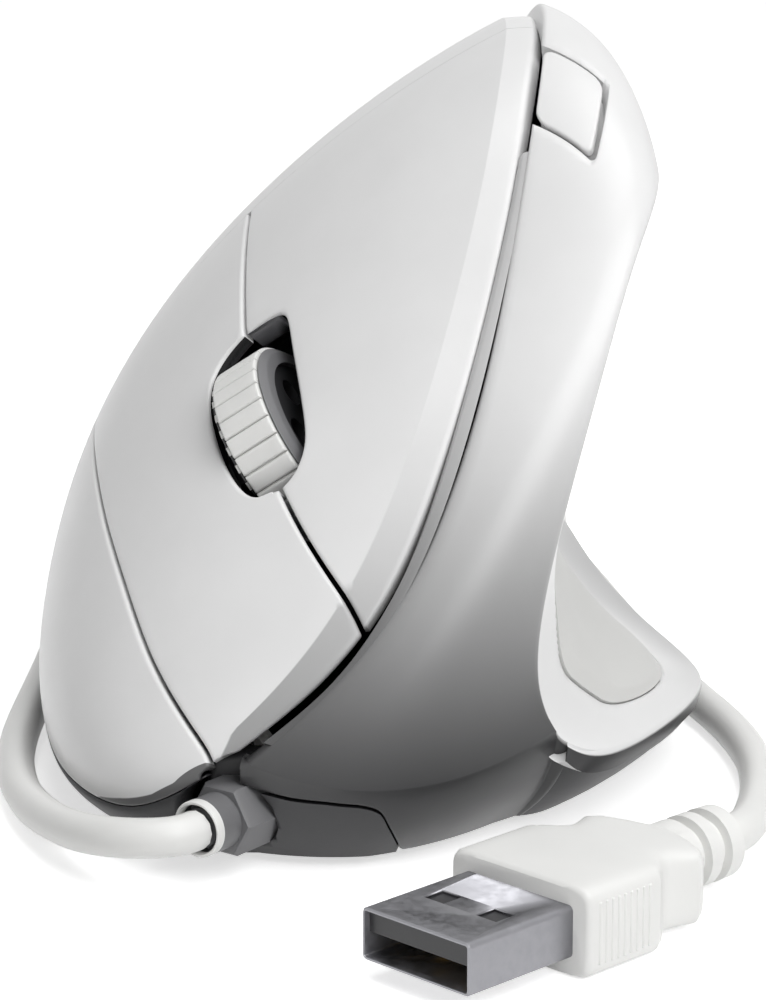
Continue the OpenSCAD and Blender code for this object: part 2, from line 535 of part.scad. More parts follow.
module forward_plunger() key_plunger(side_frame, side_depth, forward_mid);
module back_plunger() key_plunger(side_frame, side_depth, back_mid);
module dpi_plunger() key_plunger(dpi_frame, dpi_depth, dpi_frame[0]);

// Cord: a tube swept along points, its first and last runs square to what they meet
function tube_ring(p, dir, d, sides, turn = 0) =
    let (a = unit(cross(dir, [0, 0, 1])), b = cross(a, dir))
    [for (k = [0 : sides - 1]) let (g = turn + 360 * k / sides) p + d / 2 * (cos(g) * a + sin(g) * b)];
module tube(path, d, sides, first, last) {
    n = len(path) - 1;
    dir = function (i) i == 0 ? first : i == n ? last : unit(path[i + 1] - path[i - 1]);
    points = [for (i = [0 : n]) each tube_ring(path[i], dir(i), d, sides)];
    faces = concat([[for (k = [sides - 1 : -1 : 0]) k]],
        [for (i = [0 : n - 1], k = [0 : sides - 1]) let (a = i * sides + k, b = i * sides + (k + 1) % sides)
            each [[a, b + sides, a + sides], [a, b, b + sides]]],
        [[for (k = [0 : sides - 1]) n * sides + k]]);
    polyhedron(points, faces);
}
function sampled(points, n) = [for (i = [0 : n]) spline(points, i / n)];
function length_of(p) = [for (i = [1 : len(p) - 1]) norm(p[i] - p[i - 1])] * [for (i = [1 : len(p) - 1]) 1];
relief_l = 4;
collar_end = exit_at + exit_dir * relief_l;
floor_z = cord_d / 2;
// The coil lies behind the body: one layer spirals in, the other out
tie_gap = 0.2;
coil_at = [-3, body_length / 2 + 38, floor_z + tie_t + tie_gap];
coil_pitch = cord_d + coil_gap;
coil_inner = 3.6 * cord_d;
coil_outer = coil_inner + coil_pitch * coil_turns;
coil_rise = 1.2 * cord_d;
loop_rings = 24;
climb = 0.5;
coil_start = 180;
function coil_point(u) =
    let (k = u < coil_turns ? 0 : u > coil_turns + climb ? 1 : (u - coil_turns) / climb)
    let (r = u < coil_turns ? coil_outer - coil_pitch * u : u > coil_turns + climb
        ? coil_inner + coil_pitch * (u - coil_turns - climb) : coil_inner - coil_pitch / 4 * sin(180 * k))
    let (g = coil_start - 360 * u)
    coil_at + [r * cos(g), r * sin(g), coil_rise * (1 - cos(180 * k)) / 2];
coil_loops = 2 * coil_turns + climb;
coil_rings = loop_rings * coil_loops;
coil_line = [for (i = [0 : coil_rings]) coil_point(i / loop_rings)];
coil_in_dir = unit(coil_line[1] - coil_line[0]);
coil_out_dir = unit(coil_line[coil_rings] - coil_line[coil_rings - 1]);
coil_head = coil_line[0] - cord_d * coil_in_dir;
coil_end = coil_line[coil_rings] + cord_d * coil_out_dir;
coil_path = concat([coil_head], coil_line, [coil_end]);
function on_floor(p) = [p.x * fit.x, p.y * fit.y, max(p.z, floor_z)];
lead_points = concat([collar_end, collar_end + 2.5 * exit_dir],
    [for (p = [[-20.8, -59.6, 5.2], [-25.2, -54.6, 4], [-28.6, -47, 2.8], [-31.2, -39, 2], [-32.6, -30.5, 0],
        [-33, -21.5, 0], [-32.4, -11, 0], [-31.7, 0, 0], [-31.2, 12, 0], [-30.7, 25, 0], [-30.6, 38, 0],
        [-30.6, 52, 0], [-30.6, 68, 0]]) on_floor(p)],
    [coil_head - 8 * coil_in_dir, coil_head]);
plug_from = [30 * fit.x, -56.5 * fit.y, mould_h / 2];
plug_turn = 225;
plug_dir = [cos(plug_turn), sin(plug_turn), 0];
relief_end_l = 8;
tail_points = concat([coil_end, coil_end + 8 * coil_out_dir],
    [for (p = [[23.4, 74, 4.4], [21.2, 65, 2.4], [20, 56, 0], [20.4, 46, 0], [22, 36.5, 0], [23.7, 28, 0],
        [25.3, 19, 0], [27.1, 10, 0], [29, 1, 0], [31, -8, 0], [33.4, -15.5, 0], [35.2, -23.5, 0],
        [35.8, -33, 1.9], [34.6, -43, 2.6]]) on_floor(p)],
    [plug_from - 4 * plug_dir, plug_from]);
lead_path = sampled(lead_points, 36);
tail_path = sampled(tail_points, 34);
module cord_lead() color(cord_white) tube(lead_path, cord_d, 8, exit_dir, coil_in_dir);
module cord_tail() color(cord_white) tube(tail_path, cord_d, 8, coil_out_dir, plug_dir);
module cord_coil() color(cord_white) tube(coil_path, cord_d, 6, coil_in_dir, coil_out_dir);
// The tie holds the coil's turns together on the far side
tie_in = coil_inner - coil_pitch / 4 - cord_d / 2 - 0.9;
tie_out = coil_outer - coil_pitch / 4 + cord_d / 2 + tie_gap + 0.1;
tie_top = coil_at.z + coil_rise + cord_d / 2 + tie_gap;
module tie_loop(d) translate([(tie_in + tie_out) / 2, (tie_top + tie_t) / 2])
    rounded_face(tie_out - tie_in + 2 * d, tie_top - tie_t + 2 * d, 0.8 + d);
module cord_tie() color(part_black) translate([coil_at.x - tie_w / 2, coil_at.y, 0]) rotate([90, 0, 90])
    linear_extrude(tie_w) difference() {
        tie_loop(tie_t);
        tie_loop(0);
    }
module strain_relief() color(cord_white) along_exit() {
    rod(relief_d, -4.6, relief_l);
    rod(relief_d + 1.2, relief_l - 1.5, relief_l);
    block([relief_d + 0.2, relief_d + 1.6, 1.2], [0, 0, -5.2]);
}
plug_in_at = [connector_at.x, connector_at.y, main_z + pcb_t];
inner_points = concat([exit_at - 5.8 * exit_dir, exit_at - 8 * exit_dir],
    [for (p = [[-7, -47, 6.5], [-12, -38, 11], [-19, -29, 13], [-20, -17, 13]]) sized(p)],
    [for (p = [[-6, -7, 8], [-1, -1, 11], [0, 0, 7.5], [0, 0, 2.6]]) plug_in_at + p]);
module cord_inner() color("#f0f0ee") tube(sampled(inner_points, 24), 2, 8, -exit_dir, [0, 0.02, -1]);

// Plug
module on_plug() translate(plug_from) rotate([0, 0, plug_turn]) children();
module rounded_face(w, h, r) union() {
    square([w - 2 * r, h], center = true);
    square([w, h - 2 * r], center = true);
    for (a = [-1, 1], b = [-1, 1]) translate([a * (w / 2 - r), b * (h / 2 - r)]) circle(r);
}
module rounded_bar(x0, x1, w, h, r) translate([x0, 0, 0]) rotate([90, 0, 90]) linear_extrude(x1 - x0)
    rounded_face(w, h, r);
mould_from = relief_end_l;
mould_end = relief_end_l + mould_l;
steel_t = 0.3;
module plug_overmould() color(cord_white) on_plug() difference() {
    union() {
        rotate([0, 90, 0]) rod(cord_d + 3, 0, mould_from + 1);
        rounded_bar(mould_from, mould_from + 3.5, mould_w - 2.5, mould_h - 1.2, 1.5);
        rounded_bar(mould_from + 3, mould_from + 6.5, mould_w - 4.5, mould_h - 0.8, 1.5);
        rounded_bar(mould_from + 6, mould_end, mould_w, mould_h, 1.5);
    }
    for (x = [2, 4.6]) rotate([0, 90, 0]) difference() {
        rod(cord_d + 5, x, x + 1.1);
        rod(cord_d + 1.2, x - 1, x + 3);
    }
    for (e = [-1, 1], k = [0 : 4])
        block([0.6, 0.8, mould_h - 3], [mould_from + 7.6 + 1.4 * k, e * mould_w / 2, 0]);
    block([20, plug_w, plug_h], [mould_end + 4, 0, 0]);
}
steel_from = mould_end - 6;
module plug_shell() color(steel) on_plug() difference() {
    block([mould_end + plug_l - steel_from, plug_w, plug_h], [(mould_end + plug_l + steel_from) / 2, 0, 0]);
    block([mould_end + plug_l - steel_from + 2, plug_w - 2 * steel_t, plug_h - 2 * steel_t],
        [(mould_end + plug_l + steel_from) / 2 + 2, 0, 0]);
    for (e = [-1, 1]) block([2.3, 2.3, 20], [mould_end + plug_l - 6.2, e * 2.9, 0]);
}
tongue_t = 1.9;
module plug_tongue() color("#f2f2ee") on_plug() {
    block([mould_end + plug_l - 0.6 - steel_from - 1, plug_w - 2 * steel_t, tongue_t],
        [(mould_end + plug_l - 0.6 + steel_from + 1) / 2, 0, plug_h / 2 - steel_t - tongue_t / 2]);
}
contact_t = 0.15;
module plug_contacts() color("#d4af37") on_plug() for (k = [0 : 3])
    block([7, 1, contact_t],
        [mould_end + plug_l - 5.5, (k - 1.5) * 2.4, plug_h / 2 - steel_t - tongue_t - contact_t / 2]);

finger_shell();
left_button();
right_button();
thumb_shell();
thumb_pad();
bottom_shell();
forward_button();
back_button();
dpi_button();
wheel_tyre();
wheel_hub();
wheel_carrier();
wheel_guides();
encoder();
left_switch();
right_switch();
middle_switch();
left_plunger();
right_plunger();
middle_plunger();
button_board();
side_board();
forward_switch();
back_switch();
forward_plunger();
back_plunger();
dpi_board();
dpi_switch();
dpi_plunger();
chassis();
main_board();
sensor_chip();
sensor_lens();
light_source();
cord_connector();
cord_inner();
case_screws();
glide_feet();
strain_relief();
cord_lead();
cord_coil();
cord_tail();
cord_tie();
plug_overmould();
plug_shell();
plug_tongue();
plug_contacts();

// Least clear gap between turns of the coil that are over half a turn apart, and the cord's length
coil_clear = min([for (i = [0 : 2 : coil_rings], j = [i + loop_rings / 2 : 2 : coil_rings])
    norm(coil_line[i] - coil_line[j])]) - cord_d;
echo(coil_clear = coil_clear);
echo(cord_length = length_of(lead_path) + length_of(coil_path) + length_of(tail_path));
echo(wheel_frame = wheel_frame, wheel_centre = frame_point(wheel_frame, 0, 0, wheel_z));
echo(left_at = left_at, right_at = right_at, board_top = board_top);
echo(left_hinge = left_hinge, right_hinge = right_hinge);
echo(side_frame = side_frame, dpi_frame = dpi_frame, forward_mid = forward_mid, back_mid = back_mid);
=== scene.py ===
import math

import bmesh
import bpy
import numpy as np
from mathutils import Matrix, Vector


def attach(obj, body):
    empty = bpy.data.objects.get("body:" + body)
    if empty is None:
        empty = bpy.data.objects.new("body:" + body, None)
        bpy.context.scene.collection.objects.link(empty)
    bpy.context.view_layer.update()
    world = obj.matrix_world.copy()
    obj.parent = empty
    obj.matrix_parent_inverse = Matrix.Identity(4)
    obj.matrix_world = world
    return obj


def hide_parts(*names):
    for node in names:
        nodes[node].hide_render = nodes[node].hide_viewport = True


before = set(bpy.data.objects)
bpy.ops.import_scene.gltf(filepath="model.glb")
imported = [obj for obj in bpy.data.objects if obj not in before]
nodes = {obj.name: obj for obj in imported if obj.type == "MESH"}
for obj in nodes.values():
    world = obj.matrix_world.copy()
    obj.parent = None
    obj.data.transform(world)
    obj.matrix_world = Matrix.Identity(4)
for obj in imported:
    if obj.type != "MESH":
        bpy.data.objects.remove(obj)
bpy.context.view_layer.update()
scene = bpy.context.scene
scene.view_settings.view_transform = "Standard"
mm = 0.001
print("frame loaded:", len(nodes), "nodes")


def hexColour(text):
    channels = [int(text[k:k + 2], 16) / 255 for k in (1, 3, 5)]
    return tuple(c / 12.92 if c <= 0.04045 else ((c + 0.055) / 1.055) ** 2.4 for c in channels) + (1.0,)


def addNode(tree, kind, settings=None, inputs=None):
    node = tree.nodes.new(kind)
    for name, value in (settings or {}).items():
        setattr(node, name, value)
    for name, value in (inputs or {}).items():
        if isinstance(value, bpy.types.NodeSocket):
            tree.links.new(value, node.inputs[name])
        else:
            node.inputs[name].default_value = value
    return node


# Camera: in front of the nose, a little above it
view = {"target": (1.3, 0.0, 19.0), "distance": 400.0, "elevation": 15.0, "lens": 146.9}
tilt = math.radians(view["elevation"])
cameraData = bpy.data.cameras.new("photoCamera")
cameraData.lens = view["lens"]
cameraData.sensor_width = 36.0
cameraData.clip_start = 0.01
camera = bpy.data.objects.new("photoCamera", cameraData)
camera.location = (Vector(view["target"]) + view["distance"] * Vector((0, -math.cos(tilt), math.sin(tilt)))) * mm
camera.rotation_euler = (math.pi / 2 - tilt, 0, 0)
scene.collection.objects.link(camera)
scene.camera = camera

# Studio: a large soft lamp in front on the right, one overhead, a weak one on the left, and a pale floor
studio = {
    "worldLight": 0.16, "floorGlow": 0.62, "floorHalf": 4000, "aim": (0, 0, 28),
    "lamps": [
        {"name": "keyLamp", "at": (290, -500, 480), "size": 420, "watts": 3.1},
        {"name": "topLamp", "at": (60, -60, 620), "size": 380, "watts": 1.75},
        {"name": "sideLamp", "at": (-520, -260, 240), "size": 300, "watts": 0.1},
    ],
}
for lamp in studio["lamps"]:
    lampData = bpy.data.lights.new(lamp["name"], "AREA")
    lampData.energy = lamp["watts"]
    lampData.size = lamp["size"] * mm
    lampObject = bpy.data.objects.new(lamp["name"], lampData)
    lampObject.location = Vector(lamp["at"]) * mm
    lampObject.rotation_euler = (Vector(studio["aim"]) - Vector(lamp["at"])).to_track_quat("-Z", "Y").to_euler()
    scene.collection.objects.link(lampObject)


def seenRays(tree):
    path = addNode(tree, "ShaderNodeLightPath")
    first = addNode(tree, "ShaderNodeMath", {"operation": "MAXIMUM"},
                    {0: path.outputs["Is Camera Ray"], 1: path.outputs["Is Glossy Ray"]})
    return addNode(tree, "ShaderNodeMath", {"operation": "MAXIMUM"},
                   {0: first.outputs[0], 1: path.outputs["Is Transmission Ray"]}).outputs[0]


world = bpy.data.worlds.new("studioWorld")
scene.world = world
world.use_nodes = True
skyTree = world.node_tree
skyTree.nodes.clear()
dimSky, whiteSky = (addNode(skyTree, "ShaderNodeBackground", inputs={"Color": (1, 1, 1, 1), "Strength": strength})
                    for strength in (studio["worldLight"], 1.0))  # dim as a light, white where it is seen
skyMix = addNode(skyTree, "ShaderNodeMixShader",
                 inputs={0: seenRays(skyTree), 1: dimSky.outputs[0], 2: whiteSky.outputs[0]})
addNode(skyTree, "ShaderNodeOutputWorld", inputs={"Surface": skyMix.outputs[0]})


def newMaterial(name, inputs):
    material = bpy.data.materials.new(name)
    material.use_nodes = True
    tree = material.node_tree
    tree.nodes.clear()
    shader = addNode(tree, "ShaderNodeBsdfPrincipled", inputs=inputs)
    addNode(tree, "ShaderNodeOutputMaterial", inputs={"Surface": shader.outputs[0]})
    return material, tree, shader


# Matt paper that burns out to white but keeps a shadow
floorMaterial, floorTree, floorShader = newMaterial("paleStudioFloor", {
    "Base Color": hexColour("#f2f2f2"), "Roughness": 0.9, "Emission Color": (1, 1, 1, 1)})
floorGlow = addNode(floorTree, "ShaderNodeMath", {"operation": "MULTIPLY"},
                    {0: seenRays(floorTree), 1: studio["floorGlow"]})
floorTree.links.new(floorGlow.outputs[0], floorShader.inputs["Emission Strength"])
floorMesh = bpy.data.meshes.new("studioFloor")
floorHalf = studio["floorHalf"] * mm
floorCorners = [(x * floorHalf, y * floorHalf, 0) for x, y in ((-1, -1), (1, -1), (1, 1), (-1, 1))]
floorMesh.from_pydata(floorCorners, [], [(0, 1, 2, 3)])
floorMesh.materials.append(floorMaterial)
floorObject = bpy.data.objects.new("studioFloor", floorMesh)
scene.collection.objects.link(floorObject)
print("camera and studio made")


noiseSpan = {1: 0.3, 2: 0.7}  # the part of a noise's range that is seen
cloudMm, pitMm, sheenSpread = 9.0, 0.02, 0.03


def mouldedPlastic(name, pale, rough, grainMm, grain, shadeColour=None, mottle=0.04, coat=0.0, specular=0.5):
    # Injection moulded: an even body colour with an eroded grain, drawn coarser than the real 0.1 mm so that it shows
    material, tree, shader = newMaterial(name, {
        "Specular IOR Level": specular, "Coat Weight": coat, "Coat Roughness": 0.2})
    where = addNode(tree, "ShaderNodeTexCoord").outputs["Object"]
    cloud, pits = (addNode(tree, "ShaderNodeTexNoise",
                           inputs={"Vector": where, "Scale": 1 / (size * mm), "Detail": detail}).outputs[0]
                   for size, detail in ((cloudMm, 3.0), (grainMm, 2.0)))
    shade, sheen = (addNode(tree, "ShaderNodeMapRange", inputs={0: cloud, **noiseSpan, 3: low, 4: high}).outputs[0]
                    for low, high in ((1 - mottle, 1.0), (rough - sheenSpread, rough + sheenSpread)))
    colour = hexColour(pale)
    if shadeColour:  # painted shade: one attribute fades it over the points, the other turns it dark at a line near the foot
        paintedShade, paintedFootShade = (addNode(tree, "ShaderNodeAttribute", {"attribute_name": label}).outputs["Fac"]
                       for label in ("paintedShade", "paintedFootShade"))
        footShadeLevel = addNode(tree, "ShaderNodeMapRange", inputs={0: paintedFootShade, 1: 0.47, 2: 0.53, 3: 0.0, 4: 0.86})
        deeper = addNode(tree, "ShaderNodeMath", {"operation": "MAXIMUM"}, {0: paintedShade, 1: footShadeLevel.outputs[0]})
        fade = addNode(tree, "ShaderNodeMix", {"data_type": "RGBA"},
                       {0: deeper.outputs[0], 6: colour, 7: hexColour(shadeColour)})
        colour = fade.outputs[2]
    tint = addNode(tree, "ShaderNodeMix", {"data_type": "RGBA", "blend_type": "MULTIPLY"},
                   {0: 1.0, 6: colour, 7: shade})
    bump = addNode(tree, "ShaderNodeBump", inputs={"Strength": grain, "Distance": pitMm * mm, "Height": pits})
    for output, label in ((tint.outputs[2], "Base Color"), (sheen, "Roughness"), (bump.outputs[0], "Normal")):
        tree.links.new(output, shader.inputs[label])
    return material


# ABS sprayed pearl silver-white, clear satin coat: broad soft highlights; painted shade darkens it towards graphite low
# on the body
pearlAbs = mouldedPlastic("pearlLacqueredAbs", "#e2e2e2", 0.36, 0.5, 0.12, shadeColour="#1f1f21", coat=0.12, specular=0.4)
graphiteAbs = mouldedPlastic("graphiteGrainAbs", "#2b2b2d", 0.48, 0.45, 0.35)  # spark-eroded, dull
padTpe = mouldedPlastic("paleMattElastomer", "#d2d2d0", 0.55, 0.35, 0.5)  # soft-touch, no clear highlight
tyreTpe = mouldedPlastic("whiteTyreElastomer", "#e4e4e2", 0.5, 0.3, 0.3)  # rubbery, slightly dull
grooveShadeTpe = mouldedPlastic("treadGroovePaintedShade", "#b0b0ae", 0.55, 0.3, 0.3)  # painted shade: the tyre between the pads is greyed where it lies in shade
flankTpe = mouldedPlastic("greyFlankElastomer", "#6c6c6e", 0.5, 0.3, 0.3)  # dull grey flank, sleeve and nut
glossBlack = mouldedPlastic("glossBlackAbs", "#18181a", 0.18, 1.5, 0.03)  # polished mould, clear highlights
cordPvc = mouldedPlastic("whiteSheathPvc", "#e6e6e4", 0.42, 0.8, 0.2, mottle=0.05)  # extruded, waxy
mouldPvc = mouldedPlastic("whiteOvermouldPvc", "#e8e8e6", 0.46, 0.4, 0.3)  # moulded over the cord, satin
mattBlack = mouldedPlastic("blackMouldedNylon", "#232325", 0.5, 0.5, 0.3)  # dull inner mouldings
ivoryPom = mouldedPlastic("ivoryAcetal", "#e0dccf", 0.35, 0.4, 0.15)  # waxy switch buttons
boardMask = mouldedPlastic("greenSolderMask", "#25603a", 0.35, 0.25, 0.4, mottle=0.2, coat=0.3)  # uneven gloss
glidePtfe = mouldedPlastic("paleGlidePtfe", "#dcdcd8", 0.32, 1.2, 0.1)  # waxy, worn smooth
tongueShadePbt = mouldedPlastic("tongueInShadePbt", "#2a2a2c", 0.4, 0.4, 0.2)  # satin; near-black as painted shade inside the plug's opening
clearLens = mouldedPlastic("clearMouldedAcrylic", "#e4f0f4", 0.06, 2.0, 0.02)  # glassy, faintly wavy
clearLens.node_tree.nodes["Principled BSDF"].inputs["Transmission Weight"].default_value = 1.0


def platedMetal(name, colour, smooth, rough, streakMm):
    # Plated or drawn metal: a cool mirror broken up by fine uneven streaks
    material, tree, shader = newMaterial(name, {"Metallic": 1.0, "Base Color": hexColour(colour)})
    where = addNode(tree, "ShaderNodeTexCoord").outputs["Object"]
    streak = addNode(tree, "ShaderNodeTexNoise", inputs={"Vector": where, "Scale": 1 / (streakMm * mm), "Detail": 2.0})
    uneven = addNode(tree, "ShaderNodeMapRange", inputs={0: streak.outputs[0], **noiseSpan, 3: smooth, 4: rough})
    tree.links.new(uneven.outputs[0], shader.inputs["Roughness"])
    return material


slotChrome = platedMetal("metallisedSlotLining", "#8e8e92", 0.1, 0.24, 1.6)  # vacuum-metallised ABS, dark mirror
nickelPlate = platedMetal("nickelPlatedSteel", "#8c8c90", 0.36, 0.5, 0.8)  # folded sheet, cloudy reflections
plainSteel = platedMetal("zincPlatedSteel", "#b4b6b8", 0.25, 0.45, 0.4)  # screws and pins
contactGold = platedMetal("flashGoldContact", "#d8b060", 0.15, 0.3, 0.5)  # thin warm plating
sharpAngle = math.radians(38)


def makeObject(name, points, faces, materials, faceMaterials=None, paintedShade=None):
    mesh = bpy.data.meshes.new(name)
    mesh.from_pydata((np.asarray(points, float) * mm).tolist(), [], [tuple(int(v) for v in f) for f in faces])
    for material in materials:
        mesh.materials.append(material)
    if faceMaterials is not None:
        mesh.polygons.foreach_set("material_index", np.asarray(faceMaterials, np.int32))
    mesh.polygons.foreach_set("use_smooth", np.ones(len(mesh.polygons), bool))
    for label, values in (paintedShade or {}).items():
        mesh.attributes.new(label, "FLOAT", "POINT").data.foreach_set("value", np.asarray(values, np.float32))
    mesh.set_sharp_from_angle(angle=sharpAngle)
    mesh.update()
    obj = bpy.data.objects.new(name, mesh)
    scene.collection.objects.link(obj)
    return obj


def bake(obj):
    evaluated = obj.evaluated_get(bpy.context.evaluated_depsgraph_get())
    mesh = bpy.data.meshes.new_from_object(evaluated)
    obj.modifiers.clear()
    obj.data = mesh
    return obj


def cutAway(obj, cutters):
    for cutter in cutters:
        cut = obj.modifiers.new("cut", "BOOLEAN")
        cut.operation = "DIFFERENCE"
        cut.solver = "EXACT"
        cut.object = cutter
    bake(obj)
    for cutter in cutters:
        bpy.data.objects.remove(cutter)
    return obj


def fixNormals(obj):
    work = bmesh.new()
    work.from_mesh(obj.data)
    bmesh.ops.recalc_face_normals(work, faces=work.faces)
    work.to_mesh(obj.data)
    work.free()
    obj.data.set_sharp_from_angle(angle=sharpAngle)
    return obj


def join(main, *others):
    both = [main, *others]
    with bpy.context.temp_override(active_object=main, object=main,
                                   selected_objects=both, selected_editable_objects=both):
        bpy.ops.object.join()
    return main


def place(obj, origin, *axes):
    turn = Matrix(np.stack(axes, 1).tolist()).to_4x4()
    turn.translation = Vector(origin) * mm
    obj.data.transform(turn)
    return obj


def ringFaces(a, b, count):
    k, n = np.arange(count), (np.arange(count) + 1) % count
    return np.stack([a + k, a + n, b + n, b + k], 1).tolist()


def loft(name, rings, materials, closed=False):
    # Rings of equal count joined in turn, with flat ends or closed on to the first ring
    rings = np.asarray(rings, float)
    total, count = rings.shape[:2]
    faces = []
    for r in range(total if closed else total - 1):
        faces += ringFaces(r * count, (r + 1) % total * count, count)
    if not closed:
        faces += [list(range(count)), list(range((total - 1) * count, total * count))]
    return fixNormals(makeObject(name, rings.reshape(-1, 3), faces, materials))


def circle(radius, z, count):
    angle = np.linspace(0, 2 * math.pi, count + 1)[:-1]
    return np.stack([radius * np.cos(angle), radius * np.sin(angle), np.full(count, z)], -1)


def revolve(name, profile, materials, count=72):
    return loft(name, [circle(r, z, count) for r, z in profile], materials, closed=True)


def rod(name, radius, low, high, count=40):
    return loft(name, [circle(radius, z, count) for z in (low, high)], ())


def block(name, size, at, bevel, materials=()):
    work = bmesh.new()
    bmesh.ops.create_cube(work, size=1.0)
    for vert in work.verts:
        vert.co = Vector([c * e + o for c, e, o in zip(vert.co, size, at)])
    if bevel:
        bmesh.ops.bevel(work, geom=work.edges[:], offset=bevel, segments=3, profile=0.5, affect="EDGES")
    work.verts.index_update()
    points, faces = [tuple(v.co) for v in work.verts], [[v.index for v in f.verts] for f in work.faces]
    work.free()
    return fixNormals(makeObject(name, points, faces, materials))


def buildRepeatTree():
    # Copies of one small piece, stepped along a line and turned round Z
    tree = bpy.data.node_groups.new("repeatPiece", "GeometryNodeTree")
    for label, kind in (("Geometry", "Geometry"), ("Piece", "Object"), ("Count", "Int"), ("Start", "Vector"),
                        ("Step", "Vector"), ("Turn", "Float"), ("Finish", "Material")):
        tree.interface.new_socket(label, in_out="INPUT", socket_type="NodeSocket" + kind)
    tree.interface.new_socket("Geometry", in_out="OUTPUT", socket_type="NodeSocketGeometry")
    given = addNode(tree, "NodeGroupInput").outputs
    index = addNode(tree, "GeometryNodeInputIndex").outputs[0]
    angle = addNode(tree, "ShaderNodeMath", {"operation": "MULTIPLY"}, {0: index, 1: given["Turn"]}).outputs[0]
    along = addNode(tree, "ShaderNodeVectorMath", {"operation": "SCALE"}, {0: given["Step"], "Scale": index}).outputs[0]
    spot = addNode(tree, "ShaderNodeVectorMath", {"operation": "ADD"}, {0: given["Start"], 1: along}).outputs[0]
    turned = addNode(tree, "ShaderNodeVectorRotate", {"rotation_type": "Z_AXIS"},
                     {"Vector": spot, "Angle": angle}).outputs[0]
    points = addNode(tree, "GeometryNodePoints", None, {"Count": given["Count"], "Position": turned}).outputs[0]
    spin = addNode(tree, "ShaderNodeCombineXYZ", None, {"Z": angle}).outputs[0]
    facing = addNode(tree, "FunctionNodeEulerToRotation", None, {0: spin}).outputs[0]
    piece = addNode(tree, "GeometryNodeObjectInfo", None, {"Object": given["Piece"]}).outputs["Geometry"]
    copies = addNode(tree, "GeometryNodeInstanceOnPoints", None,
                     {"Points": points, "Instance": piece, "Rotation": facing}).outputs[0]
    solid = addNode(tree, "GeometryNodeRealizeInstances", None, {0: copies}).outputs[0]
    finished = addNode(tree, "GeometryNodeSetMaterial", None,
                       {"Geometry": solid, "Material": given["Finish"]}).outputs[0]
    addNode(tree, "NodeGroupOutput", None, {"Geometry": finished})
    return tree


repeatTree = buildRepeatTree()


def repeated(name, piece, count, finish, start=(0, 0, 0), step=(0, 0, 0), turn=0.0):
    holder = bpy.data.objects.new(name, bpy.data.meshes.new(name))
    scene.collection.objects.link(holder)
    modifier = holder.modifiers.new("repeat", "NODES")
    modifier.node_group = repeatTree
    values = {"Piece": piece, "Count": count, "Start": [c * mm for c in start], "Step": [c * mm for c in step],
              "Turn": math.radians(turn), "Finish": finish}
    for item in repeatTree.interface.items_tree:
        if item.in_out == "INPUT" and item.name in values:
            modifier[item.identifier] = values[item.name]
    bake(holder)
    bpy.data.objects.remove(piece)
    return holder


# The body's curves in mm, control points of B-splines from the nose to the tail, as in the CAD part
bodyRails = {
    "seam": [(-13, -56, 10), (-3, -54, 17.5), (4, -49.5, 26), (8.5, -42.5, 37), (11.5, -35.5, 47), (14, -28, 57),
             (15.5, -20, 65.5), (16.5, -9, 70), (15.5, 9, 66.5), (12, 29, 54), (7, 46, 32), (2, 58, 8)],
    "base": [(-13, -56, 10), (-20, -54.5, 5), (-26.5, -44, 5), (-29, -33, 5), (-30.5, -22, 5), (-31, -11, 5),
             (-31, 0, 5), (-30.5, 12, 5), (-29, 26, 5), (-25, 40, 5.5), (-15, 52, 6), (2, 58, 8)],
    "edge": [(17, -48.5, 10.5), (14.8, -47.5, 15), (15.5, -46.5, 22), (17.8, -44.5, 31), (20.8, -41, 41),
             (23.8, -36, 51), (27, -29.6, 56.8), (25.4, -16, 55), (25.8, 3, 49), (24, 20, 39), (21, 34, 25),
             (18, 44, 9)],
    "wing": [(17, -48.5, 10.5), (21, -47.5, 8), (28.6, -34, 8), (31.6, -26, 8.5), (31.4, -17, 7.4), (29.6, -8, 7),
             (27.6, 1, 6.5), (25.7, 10, 6.5), (23.9, 19, 6.5), (22.3, 28, 7), (20.8, 36, 8), (18, 44, 9)],
    "bulge": [(0, -6, -4), (0.5, -2.5, 0.5), (3.5, -1, 2.5), (3, 1, 6.4), (4, 6, 0)],
}
railShift = (0.2, 0, 0)  # sets the body over the origin
rail = {name: np.array(points, float) for name, points in bodyRails.items()}
for name in ("seam", "base", "edge", "wing"):
    rail[name] -= railShift
scoopDish = {"deep": 1.7, "s": (0.2, 0.4, 0.5, 0.78), "t": (0.2, 0.3, 0.5, 0.64)}  # hollow for the thumb


def splineAt(points, t):
    n = len(points) - 1
    u = np.clip(t, 0, 1) * n
    i = np.minimum(np.floor(u).astype(int), n - 1)
    f = (u - i)[..., None]
    ends = np.vstack([2 * points[0] - points[1], points, 2 * points[n] - points[n - 1]])
    weights = ((1 - f) ** 3, 3 * f ** 3 - 6 * f * f + 4, 3 * f + 3 * f * f - 3 * f ** 3 + 1, f ** 3)
    return sum(w * ends[i + k] for k, w in enumerate(weights)) / 6


def bezier(a, b, c, d, f):
    f = np.asarray(f)[..., None]
    return (1 - f) ** 3 * a + 3 * (1 - f) ** 2 * f * b + 3 * (1 - f) * f * f * c + f ** 3 * d


def paired(t, s):
    return np.broadcast_arrays(np.asarray(t, float), np.asarray(s, float))


def fingerAt(t, s):
    # The handles are shares of the width, length and height between the two rails, here and in scoopAt
    t, s = paired(t, s)
    a, b = splineAt(rail["seam"], t), splineAt(rail["base"], t)
    w, y, h = np.moveaxis(a - b, -1, 0)
    one = a + np.stack([-0.46 * w, -0.25 * y - 0.02 * w, -0.16 * h], -1)
    two = b + np.stack([-0.07 * w, 0.25 * y - 0.04 * w, 0.4 * h], -1)
    return bezier(a, one, two, b, s)


